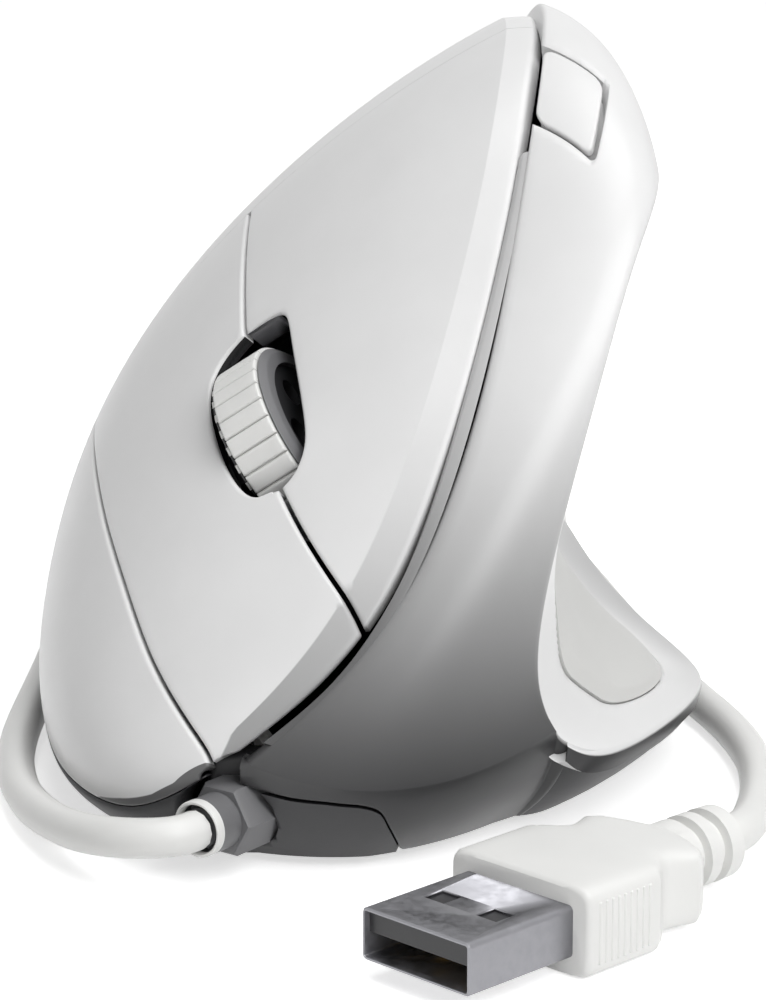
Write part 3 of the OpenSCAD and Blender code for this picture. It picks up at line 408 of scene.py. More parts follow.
def stripAt(t, s):
    t, s = paired(t, s)
    a = splineAt(rail["seam"], t)
    d = splineAt(rail["edge"], t) - a
    q = rail["bulge"]
    k = bezier(q[0], q[1], q[2], q[3], t) * (1 - t[..., None]) + bezier(q[1], q[2], q[3], q[4], t) * t[..., None]
    return bezier(a, a + d / 3 + k, a + d * 2 / 3 + k, a + d, s)


def scoopAt(t, s):
    t, s = paired(t, s)
    a, b = splineAt(rail["edge"], t), splineAt(rail["wing"], t)
    h, y = a[..., 2] - b[..., 2], b[..., 1] - a[..., 1]
    one = a + np.stack([-0.16 * h, 0.2 * y, -0.25 * h], -1)
    two = b + np.stack([-0.42 * h, -0.2 * y, 0.1 * h], -1)
    dish = scoopDish["deep"] * hill(s, *scoopDish["s"]) * hill(t, *scoopDish["t"])
    return bezier(a, one, two, b, s) - np.stack([dish, 0 * dish, 0 * dish], -1)


def speed(surface, t, s, e=0.004):
    across = np.linalg.norm(surface(t, s + e) - surface(t, s - e), axis=-1) / (2 * e)
    along = np.linalg.norm(surface(t + e, s) - surface(t - e, s), axis=-1) / (2 * e)
    return across, along


def ramp(x, low, high):
    f = np.clip((x - low) / (high - low), 0, 1)
    return f * f * (3 - 2 * f)


def mix(a, b, f):
    return a * (1 - f) + b * f


def hill(x, foot, top, brink, end):
    return ramp(x, foot, top) * (1 - ramp(x, brink, end))


def unit(v):
    return v / np.maximum(np.linalg.norm(v, axis=-1, keepdims=True), 1e-12)


def gridNormals(points):
    def slope(p):
        before, after = np.concatenate([p[:1], p[:-1]]), np.concatenate([p[1:], p[-1:]])
        back = np.linalg.norm(p - before, axis=-1, keepdims=True)
        on = np.linalg.norm(after - p, axis=-1, keepdims=True)
        mid = (p - before) * on / np.maximum(back, 1e-9) + (after - p) * back / np.maximum(on, 1e-9)
        return np.where(back < 1e-9, after - p, np.where(on < 1e-9, p - before, mid))
    return unit(np.cross(np.swapaxes(slope(np.swapaxes(points, 0, 1)), 0, 1), slope(points)))


def nearEdge(points, segments, radius, chunk=400):
    # How far a rounded edge falls at each point, for the nearest of the segments
    fall = np.zeros(len(points))
    a, ab = segments[:, 0], segments[:, 1] - segments[:, 0]
    long = np.maximum((ab * ab).sum(-1), 1e-12)
    for k in range(0, len(points), chunk):
        p = points[k:k + chunk, None] - a[None]
        f = np.clip((p * ab).sum(-1) / long, 0, 1)
        d = np.linalg.norm(p - f[..., None] * ab, axis=-1)
        inside = np.clip(radius - d, 0, None)
        fall[k:k + chunk] = (radius - np.sqrt(np.maximum(radius ** 2 - inside ** 2, 0))).max(1)
    return fall


def shellPiece(name, outer, keep, wall, radius, materials, lined=None, paintedShade=None, normals=None):
    # A closed wall between a grid of points and the same grid moved inwards, with rounded rims
    rows, cols = outer.shape[:2]
    normals = gridNormals(outer) if normals is None else normals
    wall, radius = (np.broadcast_to(np.asarray(x, float), (rows, cols)) for x in (wall, radius))
    inner = outer - wall[..., None] * normals
    index = np.arange(rows * cols).reshape(rows, cols)
    half = rows * cols
    framed = np.zeros((rows + 1, cols + 1), bool)
    framed[1:-1, 1:-1] = keep
    i, j = np.nonzero(keep)
    a, b, c, d = index[i, j], index[i, j + 1], index[i + 1, j + 1], index[i + 1, j]
    sides = []
    for beside, p, q in ((framed[i + 1, j], a, d), (framed[i + 1, j + 2], c, b),
                         (framed[i, j + 1], b, a), (framed[i + 2, j + 1], d, c)):
        sides.append(np.stack([p, q], 1)[~beside])
    sides = np.concatenate(sides)
    flat, flatNormals = outer.reshape(-1, 3), normals.reshape(-1, 3)
    flatRadius = radius.reshape(-1)
    reach = np.zeros(half, bool)
    reach[sides.ravel()] = True
    reach = reach.reshape(rows, cols)
    for _ in range(7):  # only points this many cells from a rim are rounded
        wide = reach.copy()
        wide[1:] |= reach[:-1]
        wide[:-1] |= reach[1:]
        wide[:, 1:] |= reach[:, :-1]
        wide[:, :-1] |= reach[:, 1:]
        reach = wide
    near = np.nonzero(reach.ravel())[0]
    fall = np.zeros(half)
    fall[near] = nearEdge(flat[near], flat[sides], flatRadius[sides].mean(1))
    points = np.concatenate([flat - fall[:, None] * flatNormals, inner.reshape(-1, 3)])
    faces = np.concatenate([np.stack([a, b, c, d], 1), np.stack([a, d, c, b], 1) + half,
                            np.stack([sides[:, 0], sides[:, 1], sides[:, 1] + half, sides[:, 0] + half], 1)])
    slots = np.zeros(len(faces), int)
    if lined is not None:
        flags = lined.ravel()
        slots[2 * len(a):] = (flags[sides[:, 0]] & flags[sides[:, 1]]).astype(int)
    used, faces = np.unique(faces, return_inverse=True)
    faces = faces.reshape(-1, 4)
    paintedShades = {label: np.tile(values.ravel(), 2)[used] for label, values in (paintedShade or {}).items()}
    return makeObject(name, points[used], faces, materials, slots, paintedShades)


def stations(low, high, step, *extra):
    count = max(2, int(round((high - low) / step)) + 1)
    values = np.concatenate([np.linspace(low, high, count), *[np.atleast_1d(e) for e in extra]])
    return np.unique(np.round(values[(values >= low - 1e-9) & (values <= high + 1e-9)], 7))


def cells(grid):
    return np.ones((grid.shape[0] - 1, grid.shape[1] - 1), bool)


def spread(rows, like):
    return np.repeat(rows[:, None], like.shape[1], 1)


# Finger side: fixed shell and the two main keys
panel = {
    "wall": 2.0, "keyWall": 1.5, "keyGap": 0.36, "rearGap": 0.06, "keyEdge": 0.34, "sharpRim": 0.01, "footRim": 0.15,
    "seamTop": 0.15, "seamNose": 0.55, "bandWidth": 4.0, "bandDrop": 1.5, "slotDeep": 2.6, "thinEdge": 0.6,
    "rowStep": 0.008, "columns": 26, "shadeZ": (8, 44), "shadeDepth": 0.62, "footShadeSoft": 0.12,
    # painted shade at the foot begins at these shares across, along the nose
    "footShadeLine": [(0.0, 0.0275, 0.0456, 0.0694, 0.1081, 0.135, 0.16), (0.3, 0.52, 0.8525, 0.925, 0.955, 0.985, 1.03)],
    "slotLeft": [(0.2794, 0), (0.284, 0.02), (0.294, 0.04), (0.312, 0.06), (0.345, 0.065), (0.3688, 0.066),
                 (0.4, 0.064), (0.424, 0.062), (0.441, 0.058), (0.446, 0.035), (0.4475, 0)],
    "slotRight": [(0.2794, 0), (0.2805, 0.03), (0.288, 0.046), (0.31, 0.056), (0.3419, 0.0595), (0.37, 0.061),
                  (0.4, 0.062), (0.425, 0.054), (0.441, 0.03), (0.4475, 0)],
}
edgeSteps = np.array([0.0, 0.05, 0.12, 0.22, 0.36])  # mm from a rim, close together where it rounds
bodyLong = 125  # mm along the rails for t from 0 to 1
firstRow, lastRow = 0.015, 0.985  # t where the shells begin and end
noseRow, cornerRow, rearRow = 0.022, 0.14, 0.62  # t where the right key and the left key begin, and where both end


def seamHalf(t):
    return panel["seamTop"] + (panel["seamNose"] - panel["seamTop"]) * (1 - ramp(t, 0.12, 0.46))


def upperSplit(t):
    return 0.42 * (1 - np.exp((0.13 - t) / 0.12))


def lowerSplit(t):
    return 0.44 + 0.62 * t - 0.26 * t * t


def splitHalf(t, split):
    e = 0.002
    across, along = speed(fingerAt, t, np.clip(split(t), 0.02, 0.98))
    lean = (split(t + e) - split(t - e)) / (2 * e) * across / along
    return panel["keyGap"] / 2 / across * np.sqrt(1 + lean ** 2)


def slotBulge(t, side):
    line = splineAt(np.array(panel[side], float), np.linspace(0, 1, 200))
    return np.interp(t, line[:, 0], line[:, 1])


def bandEdge(t):
    wide = np.linalg.norm(splineAt(rail["seam"], t) - splineAt(rail["base"], t), axis=-1)
    return np.minimum(panel["bandWidth"] / wide, 0.3), panel["bandDrop"] * (0.3 + 0.7 * ramp(t, 0.1, 0.26))


def bodyInside(t):
    return 0.4 * splineAt(rail["base"], t) + 0.6 * splineAt(rail["edge"], t)


def bevelAt(t, s):
    far, drop = bandEdge(t)
    p = fingerAt(t, s)
    return p + (drop * np.clip(1 - s / far, 0, 1))[..., None] * unit(bodyInside(t) - p)


# Painted shade: the bevel band darkens lower down, and along the nose the finger side turns dark below a line
def panelPaintedShade(points, t, s):
    far, _ = bandEdge(t)
    band = ramp(far - s, -0.001, 0.001)
    low = 1 - ramp(points[..., 2], *panel["shadeZ"])
    edge = np.interp(t, *panel["footShadeLine"])
    return {"paintedShade": band * panel["shadeDepth"] * low, "paintedFootShade": np.clip(0.5 + (s - edge) / panel["footShadeSoft"], 0, 1)}


def seamAt(t):
    across, _ = speed(fingerAt, t, np.full_like(t, 0.01))
    return seamHalf(t) / across


def columnsBetween(t, outerEdge, innerEdge, count, crease=None):
    # Columns from the far edge to the near one, close together at both rims and at the bevel's crease
    across, _ = speed(fingerAt, t, np.clip((outerEdge + innerEdge) / 2, 0.02, 0.98))
    span = outerEdge - innerEdge
    step = np.minimum(edgeSteps[None] / across[:, None], span[:, None] * np.linspace(0, 0.2, len(edgeSteps))[None])
    start, stop = outerEdge[:, None] - step, innerEdge[:, None] + step[:, ::-1]
    first, last = start[:, -1], stop[:, 0]
    fill, under = (np.linspace(0, 1, n + 2)[1:-1][None] for n in (count, 5))
    if crease is None:
        return np.concatenate([start, mix(first[:, None], last[:, None], fill), stop], 1)
    tight = 0.12 / across
    crease = np.clip(crease, last + 3 * tight, np.maximum(first - 3 * tight, last + 3 * tight))
    crease = np.where(first - last < 7 * tight, (first + last) / 2, crease)
    tight = np.minimum(tight, (first - last) / 8)
    above, below = crease + tight, crease - tight
    return np.concatenate([start, mix(first[:, None], above[:, None], fill), np.stack([above, crease, below], 1),
                           mix(below[:, None], last[:, None], under), stop], 1)


rimRows = edgeSteps / bodyLong
slotEnds = (panel["slotLeft"][0][0], panel["slotLeft"][-1][0])
slotRows = sum(slotEnds) / 2 + (slotEnds[1] - slotEnds[0]) / 2 * np.sin(np.linspace(-math.pi / 2, math.pi / 2, 71))
keyEnd, rearStart = (rearRow + side * panel["rearGap"] / 2 / bodyLong for side in (-1, 1))


def slotSplit(t, side, sign):
    return upperSplit(t) + sign * (splitHalf(t, upperSplit) + slotBulge(t, side))


def keyRims(rows, s, slotColumn):
    # Which points line the wheel's slot, and the rim's radius and the wall at each point of a main key
    lined = np.zeros(s.shape, bool)
    lined[(rows > slotEnds[0] - 1e-6) & (rows < slotEnds[1] + 1e-6), slotColumn] = True
    radius = np.full(s.shape, panel["keyEdge"])
    radius[-1] = panel["sharpRim"]
    return lined, radius, np.full(s.shape, panel["keyWall"])


def panelPiece(name, rows, s, keep, wall, radius, materials, lined=None):
    t = spread(rows, s)
    grid = bevelAt(t, s)
    return shellPiece(name, grid, keep, wall, radius, materials, lined, panelPaintedShade(grid, t, s),
                      gridNormals(fingerAt(t, s)))


leftRows = stations(cornerRow, keyEnd, panel["rowStep"], cornerRow + rimRows, slotRows)
leftOuter = np.maximum(slotSplit(leftRows, "slotLeft", -1), seamAt(leftRows) + 0.006)
leftS = columnsBetween(leftRows, leftOuter, seamAt(leftRows), panel["columns"], bandEdge(leftRows)[0])
leftLined, leftRadius, leftWall = keyRims(leftRows, leftS, 0)
leftWall[leftLined] = panel["slotDeep"]
leftKey = panelPiece("leftKey", leftRows, leftS, cells(leftS), leftWall, leftRadius, [pearlAbs, slotChrome], leftLined)

rightRows = stations(noseRow, keyEnd, panel["rowStep"], noseRow + rimRows, slotRows, np.linspace(0.12, 0.16, 21))
rightOuter = lowerSplit(rightRows) - splitHalf(rightRows, lowerSplit)
rightInner = np.maximum(slotSplit(rightRows, "slotRight", 1), seamAt(rightRows))
rightS = columnsBetween(rightRows, rightOuter, rightInner, panel["columns"], bandEdge(rightRows)[0])
rightLined, rightRadius, rightWall = keyRims(rightRows, rightS, -1)
rightWall[rightRows < slotEnds[0], -9:] = np.linspace(panel["keyWall"], panel["thinEdge"], 9)  # room in the seam
rightKey = panelPiece("rightKey", rightRows, rightS, cells(rightS), rightWall, rightRadius, [pearlAbs, glossBlack],
                      rightLined)

fingerRows = stations(firstRow, lastRow, 0.009, firstRow + rimRows, rearStart, np.linspace(0.02, 0.16, 57))
fingerEdge = np.minimum(lowerSplit(fingerRows) + splitHalf(fingerRows, lowerSplit), 0.985)
lowS = columnsBetween(fingerRows, np.ones_like(fingerRows), fingerEdge, 16)
highS = columnsBetween(fingerRows, fingerEdge - 0.012, seamAt(fingerRows), panel["columns"], bandEdge(fingerRows)[0])
fingerS = np.concatenate([lowS, highS], 1)
fingerKeep = cells(fingerS)
fingerKeep[fingerRows[:-1] < rearStart - 1e-6, lowS.shape[1] - 1:] = False  # the keys' place
fingerRadius = np.full(fingerS.shape, panel["keyEdge"])
fingerRadius[np.abs(fingerRows - rearStart) < 1e-6, lowS.shape[1]:] = panel["sharpRim"]
fingerRadius[:, 0] = panel["footRim"]
fingerShell = panelPiece("fingerShell", fingerRows, fingerS, fingerKeep, panel["wall"], fingerRadius, [pearlAbs])
print("finger side made")

# Thumb side: nose wall, ridge strip and scoop in one shell, with openings for its keys and its pad
thumb = {
    "wall": 2.0, "crest": 1.0, "rim": 0.5, "seamRound": 1.9, "seamRoundTop": 0.5, "keyEdge": 0.25, "keyGap": 0.3,
    "dpi": {"t": (0.4885, 0.562), "s": (0.0, 0.39), "corner": 0.7, "lean": 0.042, "leanFrom": 0.2,
            "proud": 0.02, "edge": 0.25, "wall": 0.8},
    "forward": {"t": (0.452, 0.523), "s": (0.072, 0.248), "corner": 1.6, "proud": 0.25, "edge": 0.5, "wall": 1.5},
    "back": {"t": (0.542, 0.615), "s": (0.072, 0.248), "corner": 1.6, "proud": 0.25, "edge": 0.5, "wall": 1.5},
    "pad": {"t": (0.166, 0.6), "s": (0.29, 0.86), "corner": 11.0, "proud": 0.45, "edge": 1.2, "wall": 1.6,
            "chamfer": 2.0},
    "padGap": 0.12, "shadeZ": (4, 44), "shadePower": 0.8, "scoopShade": 0.5, "scoopShadeZ": (5, 11),
    "scoopShadeY": (-40, -10), "tabCorner": (0.37, 0.54),
    "tabSeam": [(0, 0.05, 0.113, 0.173, 0.28, 0.383, 0.42, 0.448, 0.462, 0.47, 0.5, 0.532, 1),
                (0.25, 0.25, 0.24, 0.235, 0.2, 0.205, 0.235, 0.29, 0.37, 0.46, 0.72, 1, 1)],
    "tabGap": 0.028,
}


def outlineOf(spec, surface, grow=0.0):
    # Signed distance in mm to a rounded box drawn on a surface, and the way back from mm to t and s
    tMid, sMid = sum(spec["t"]) / 2, sum(spec["s"]) / 2
    across, along = (float(x) for x in speed(surface, np.array(tMid), np.array(sMid)))
    half = np.array([(spec["t"][1] - spec["t"][0]) / 2 * along, (spec["s"][1] - spec["s"][0]) / 2 * across]) + grow
    corner = min(spec["corner"] + grow, half.min() - 0.01)

    def distance(u):
        q = np.abs(u) - half + corner
        return np.linalg.norm(np.maximum(q, 0), axis=-1) + np.minimum(q.max(-1), 0) - corner

    lean = spec.get("lean", 0.0)

    def toPlane(t, s):
        return np.stack([(t - tMid + lean * (s - spec["leanFrom"] if lean else 0)) * along, (s - sMid) * across], -1)

    def toSurface(u):
        s = sMid + u[..., 1] / across
        return tMid + u[..., 0] / along - lean * (s - spec["leanFrom"] if lean else 0), s
    return distance, toPlane, toSurface


def cutOpening(t, s, keep, spec, surface, grow):
    # Drops the cells inside an outline and moves the points round it on to it
    distance, toPlane, toSurface = outlineOf(spec, surface, grow)
    plane = toPlane(t, s)
    gone = distance((plane[1:, 1:] + plane[:-1, 1:] + plane[1:, :-1] + plane[:-1, :-1]) / 4) < 0
    keep &= ~gone
    framed = np.pad(gone, 1)
    around = np.stack([framed[1:, 1:], framed[:-1, 1:], framed[1:, :-1], framed[:-1, :-1]])
    rim = around.any(0) & ~around.all(0)
    u = plane[rim]
    for _ in range(4):
        e = 1e-4
        d = distance(u)
        way = np.stack([distance(u + [e, 0]) - d, distance(u + [0, e]) - d], -1) / e
        u = u - d[:, None] * way / np.maximum((way ** 2).sum(-1, keepdims=True), 1e-6)
    t[rim], s[rim] = toSurface(u)


def crestBlend(t, share, reach):
    # The rounded crest between the strip and the scoop
    one = stripAt(t, 1 - reach / speed(stripAt, t, np.full_like(t, 0.97))[0])
    two = scoopAt(t, reach / speed(scoopAt, t, np.full_like(t, 0.03))[0])
    top = splineAt(rail["edge"], t)
    f = share[..., None]
    return (1 - f) ** 2 * one + 2 * f * (1 - f) * top + f * f * two


def crestReach(t):
    # The crest's rounding shrinks where the scoop runs out to its tip
    wide = np.linalg.norm(splineAt(rail["edge"], t) - splineAt(rail["wing"], t), axis=-1)
    return np.minimum(thumb["crest"], 0.22 * wide)


thumbRows = np.unique(np.concatenate([stations(firstRow, 0.18, 0.0085, firstRow + rimRows),
                                      np.linspace(0.18, 0.64, 150), stations(0.64, lastRow, 0.0085)]))
rowCount = len(thumbRows)
seamSpeed, crestSpeed = (speed(stripAt, thumbRows, np.full(rowCount, near))[0] for near in (0.01, 0.97))
scoopSpeed, _ = speed(scoopAt, thumbRows, np.full(rowCount, 0.03))
seamRound = thumb["seamRoundTop"] + (thumb["seamRound"] - thumb["seamRoundTop"]) * (1 - ramp(thumbRows, 0.25, 0.5))
rimShare = np.array([0.0, 0.06, 0.16, 0.3, 0.48, 0.7, 1.0])
seamS = seamHalf(thumbRows) / seamSpeed
stripStart = seamS[:, None] + rimShare[None] * (seamRound / seamSpeed)[:, None]
stripStop = 1 - crestReach(thumbRows) / crestSpeed
tabStart, tabStop = (np.full((rowCount, 1), x) for x in thumb["tabCorner"])
fillOne, fillTwo, fillThree = (np.linspace(0, 1, n)[1:][None] for n in (10, 17, 12))
stripS = np.concatenate([stripStart, mix(stripStart[:, -1:], tabStart, fillOne), mix(tabStart, tabStop, fillTwo),
                         mix(tabStop, stripStop[:, None], fillThree)], 1)
scoopStart = crestReach(thumbRows) / scoopSpeed
scoopLine = np.concatenate([np.linspace(0.0, 0.25, 26), np.linspace(0.25, 0.97, 62)[1:], [0.978, 0.986, 0.993, 1.0]])
scoopS = scoopStart[:, None] + (1 - scoopStart[:, None]) * scoopLine[None]
crestS = np.repeat(np.linspace(0, 1, 8)[1:-1][None], rowCount, 0)
stripT, scoopT = spread(thumbRows, stripS), spread(thumbRows, scoopS)
stripCount, crestCount = stripS.shape[1], crestS.shape[1]
stripKeep, scoopKeep = cells(stripS), cells(scoopS)
crestGrid = crestBlend(spread(thumbRows, crestS), crestS, crestReach(thumbRows)[:, None])
plainGrid = np.concatenate([stripAt(stripT, stripS), crestGrid, scoopAt(scoopT, scoopS)], 1)  # before the openings
noseS = np.concatenate([stripS[0], np.ones(crestCount + scoopS.shape[1])])
dpiOpening = {**thumb["dpi"], "s": (-0.3, thumb["dpi"]["s"][1])}  # open towards the seam
cutOpening(stripT, stripS, stripKeep, dpiOpening, stripAt, thumb["keyGap"])
for opening, gap in (("forward", "keyGap"), ("back", "keyGap"), ("pad", "padGap")):
    cutOpening(scoopT, scoopS, scoopKeep, thumb[opening], scoopAt, thumb[gap])
thumbKeep = cells(plainGrid)
thumbKeep[:, :stripCount - 1] = stripKeep
thumbKeep[:, stripCount + crestCount:] = scoopKeep
thumbGrid = np.concatenate([stripAt(stripT, stripS), crestGrid, scoopAt(scoopT, scoopS)], 1)

# Lower hull: every point of the body's edge falls in to its foot
hull = {"footZ": 1.0, "belly": 0.45, "wall": 2.0, "plate": 2.8, "lip": 0.012, "inset": 0.45, "tabPull": 0.955,
        "bridges": {"noseBridge": [(6, 3, 4.6), (-10.8, -51.2, 8.2)], "tailBridge": [(7, 3, 6), (2, 54.6, 6.4)]}}


def hullOut(p, v):
    # The foot is a share of the edge's place in x and y, least at the thumb side's front
    right, front = np.clip(p[..., 0] / 14, 0, 1), np.clip((-18 - p[..., 1]) / 16, 0, 1)
    footX = 0.86 * (1 - right) + (0.94 - 0.15 * front) * right
    footY = np.where(p[..., 1] < 0, 0.92 - 0.05 * right, 0.92)
    foot = np.stack([footX * p[..., 0], footY * p[..., 1], np.full(p.shape[:-1], hull["footZ"])], -1)
    knee = np.stack([p[..., 0], p[..., 1], p[..., 2] * (1 - hull["belly"]) + hull["footZ"] * hull["belly"]], -1)
    v = np.asarray(v)[..., None]
    return (1 - v) ** 2 * p + 2 * v * (1 - v) * knee + v * v * foot


hullSteps = np.array([1.0, 0.985, 0.95, 0.88, 0.78, 0.66, 0.54, 0.42, 0.3, 0.2, 0.12, 0.05])
noseHull = hullOut(np.repeat(thumbGrid[:1], len(hullSteps), 0),
                   hullSteps[:, None] * np.interp(noseS, *thumb["tabSeam"])[None])
plainNormals = gridNormals(np.concatenate([noseHull, plainGrid]))
thumbAll = np.concatenate([noseHull, thumbGrid])
thumbKeepAll = np.concatenate([np.ones((len(hullSteps), thumbKeep.shape[1]), bool), thumbKeep])
thumbRadius = np.full(thumbAll.shape[:2], thumb["keyEdge"])
thumbRadius[len(hullSteps):, 0] = seamRound
thumbRadius[:, -1] = thumb["rim"]
bodyZ = thumbAll[..., 2]
stripPart = np.zeros(thumbAll.shape[:2])
stripPart[:, :stripCount + crestCount // 2] = 1
stripPart[:len(hullSteps)] = 1
# Painted shade: the nose wall and strip darken lower down, and the scoop darkens low down towards the back
scoopPaintedShade = thumb["scoopShade"] * (1 - ramp(bodyZ, *thumb["scoopShadeZ"])) * ramp(thumbAll[..., 1], *thumb["scoopShadeY"])
thumbPaintedShade = stripPart * (1 - ramp(bodyZ, *thumb["shadeZ"])) ** thumb["shadePower"] + (1 - stripPart) * scoopPaintedShade
thumbPaintedShade[:, -1] = 1.0  # painted shade, full, on the wing's foot under its lip
thumbShell = shellPiece("thumbShell", thumbAll, thumbKeepAll, thumb["wall"], thumbRadius, [pearlAbs], None,
                        {"paintedShade": thumbPaintedShade}, plainNormals)


def keyCap(name, spec, surface, material):
    # A cap that follows the surface inside an outline, its rim rounded
    proud, edge, wall = spec["proud"], spec["edge"], spec["wall"]
    distance, _, toSurface = outlineOf(spec, surface)
    angles = np.linspace(0, 2 * math.pi, 97)[:-1]
    ray = np.stack([np.cos(angles), np.sin(angles)], -1)
    low, high = np.zeros(len(angles)), np.full(len(angles), 60.0)
    for _ in range(40):
        middle = (low + high) / 2
        inside = distance(ray * middle[:, None]) < 0
        low, high = np.where(inside, middle, low), np.where(inside, high, middle)
    shares = np.concatenate([np.linspace(0, 0.9, 12), 1 - np.array([0.07, 0.045, 0.025, 0.01, 0.0])])
    shares = np.repeat(shares[:, None], len(angles), 1)
    if "chamfer" in spec:
        brink = 1 - spec["chamfer"] / low
        shares = np.concatenate([np.linspace(0, 1, 14)[:, None] * (brink - 0.25 / low), [brink, brink + 0.25 / low],
                                 np.linspace(0.3, 1, 5)[:, None] * (1 - brink) + brink])
    u = ray[None] * low[None, :, None] * shares[..., None]
    t, s = toSurface(u)
    base = surface(t, s)
    e = 0.002
    normal = unit(np.cross(surface(t, s + e) - surface(t, s - e), surface(t + e, s) - surface(t - e, s)))
    depth = np.abs(distance(u))
    inside = np.clip(edge - depth, 0, None)
    rise = proud - (edge - np.sqrt(np.maximum(edge ** 2 - inside ** 2, 0)))
    if "chamfer" in spec:
        rise = 0.02 + proud * np.clip(depth / spec["chamfer"], 0, 1) * ramp(s, 0.3, 0.5)
    top = base + rise[..., None] * normal
    under = base - wall * normal
    rings, count = len(shares), len(angles)
    points = np.concatenate([top[1:].reshape(-1, 3), under[1:].reshape(-1, 3), top[:1, 0], under[:1, 0]])
    half = (rings - 1) * count
    faces, k, n = [], np.arange(count), (np.arange(count) + 1) % count
    for r in range(rings - 2):
        a, b = r * count, (r + 1) * count
        faces += ringFaces(a, b, count)
        faces += np.stack([half + a + k, half + b + k, half + b + n, half + a + n], 1).tolist()
    last = (rings - 2) * count
    faces += ringFaces(last, half + last, count)
    faces += np.stack([np.full(count, 2 * half), n, k], 1).tolist()
    faces += np.stack([np.full(count, 2 * half + 1), half + k, half + n], 1).tolist()
    return fixNormals(makeObject(name, points, faces, [material], None, {"paintedShade": np.zeros(len(points))}))


dpiNear = float(seamHalf(np.array(0.53)) / 13.0) + 0.01  # the strip is 13 mm across here
dpiSpec = {**thumb["dpi"], "t": (thumb["dpi"]["t"][0], thumb["dpi"]["t"][1] - 0.002), "corner": 1.2,
           "s": (dpiNear, thumb["dpi"]["s"][1] - 0.019)}
dpiKey = keyCap("resolutionKey", dpiSpec, stripAt, pearlAbs)
forwardKey, backKey = (keyCap(name + "Key", thumb[name], scoopAt, pearlAbs) for name in ("forward", "back"))
thumbPad = keyCap("thumbPad", thumb["pad"], scoopAt, padTpe)

# Shelf in the seam groove, under the thumb shell's rounded edge
lip = {"from": 0.03, "to": 0.475, "deep": 0.7, "thick": 0.9, "under": 0.7, "clear": 0.2, "noseClear": 0.62,
       "paintedShade": (0.3, 0.6), "shadeZ": (14, 46)}
lipRows = stations(lip["from"], lip["to"], 0.01)
lipSeam = splineAt(rail["seam"], lipRows)
lipUp = unit(lipSeam - bodyInside(lipRows))
lipAcross = unit(stripAt(lipRows, 0.03) - fingerAt(lipRows, 0.03))
lipShare = np.linspace(0, 1, 5)[None, :, None]
lipBack = seamHalf(lipRows) - lip["clear"] - lip["noseClear"] * (1 - ramp(lipRows, 0.12, 0.34))
lipStart, lipStop = -np.maximum(lipBack, -0.3), seamHalf(lipRows) + lip["under"]
lipSide = mix(lipStart[:, None, None], lipStop[:, None, None], lipShare)
lipGrid = lipSeam[:, None] + lipSide * lipAcross[:, None] - lip["deep"] * lipUp[:, None]
# painted shade in the groove: the shelf is greyed throughout and darker lower down
lipPaintedShade = np.repeat(lip["paintedShade"][0] + lip["paintedShade"][1] * (1 - ramp(lipSeam[:, 2:], *lip["shadeZ"])), 5, 1)
seamLip = shellPiece("seamLip", lipGrid, cells(lipGrid), lip["thick"], 0.08, [pearlAbs], None, {"paintedShade": lipPaintedShade},
                     np.repeat(lipUp[:, None], 5, 1))
shelf = {"t": (0.478, 0.578), "s": (0.02, 0.44), "deep": 1.75, "thick": 0.6}  # closes the view past the resolution key
shelfT, shelfS = np.meshgrid(np.linspace(*shelf["t"], 24), np.linspace(*shelf["s"], 14), indexing="ij")
shelfNormals = gridNormals(stripAt(shelfT, shelfS))
shelfGrid = stripAt(shelfT, shelfS) - shelf["deep"] * shelfNormals
# a light painted shade all over the shelf behind the key
keyShelf = shellPiece("keyShelf", shelfGrid, cells(shelfGrid), shelf["thick"], 0.05, [pearlAbs], None,
                      {"paintedShade": np.full(shelfT.shape, 0.1)}, shelfNormals)
join(thumbShell, seamLip, keyShelf)
print("thumb side made")

# Lower hull and bottom plate as one tub
frontS = np.linspace(0.515, float(seamS[0]), 40)
front = stripAt(np.full(len(frontS), firstRow), frontS)
side = fingerAt(stations(firstRow, lastRow, 0.012), 1.0)
rearStrip = stripAt(np.full(12, lastRow), np.linspace(0.06, 1, 12))
rearScoop = scoopAt(np.full(10, lastRow), np.linspace(0.1, 1, 10))
wingRows = stations(firstRow, lastRow, 0.012)[::-1]
wingLine = scoopAt(wingRows, 1.0)
wingIn = wingLine - hull["inset"] * unit(wingLine * [1, 1, 0])
rimLine = np.concatenate([front, side, rearStrip, rearScoop, wingIn[1:]])
rimTop = np.full(len(rimLine), hull["lip"])
rimTop[:len(front)] = np.minimum(np.interp(frontS, *thumb["tabSeam"]) + thumb["tabGap"], 0.93)
keepApart = np.concatenate([[True], np.linalg.norm(np.diff(rimLine, axis=0), axis=-1) > 0.15])
rimLine, rimTop = rimLine[keepApart], rimTop[keepApart]
tabS = np.linspace(1.0, thumb["tabCorner"][1], 14)
tabLine = hullOut(stripAt(np.full(14, firstRow), tabS), np.ones(14)) * [hull["tabPull"], hull["tabPull"], 1]
levels = np.append(hullSteps[:-1], [0.06, hull["lip"]])
share = ((levels - levels[-1]) / (1 - levels[-1]))[:, None]
outerRing = hullOut(np.repeat(rimLine[None], len(levels), 0), rimTop[None] + (1 - rimTop[None]) * share)
footWay = unit(rimLine * [1, 1, 0])
innerRing = outerRing - hull["wall"] * footWay[None]
innerRing[..., 2] = np.maximum(outerRing[..., 2], hull["plate"])
tabOuter = np.repeat(tabLine[None], len(levels), 0)
tabOuter[..., 2] = hull["footZ"] + (hull["plate"] - hull["footZ"]) * (1 - share)
tabInner = tabOuter - hull["wall"] * unit(tabOuter * [1, 1, 0])
tabInner[..., 2] = hull["plate"]
outerRing, innerRing = np.concatenate([outerRing, tabOuter], 1), np.concatenate([innerRing, tabInner], 1)
baseHull = loft("baseHull", np.concatenate([outerRing, innerRing[::-1]]), [graphiteAbs])
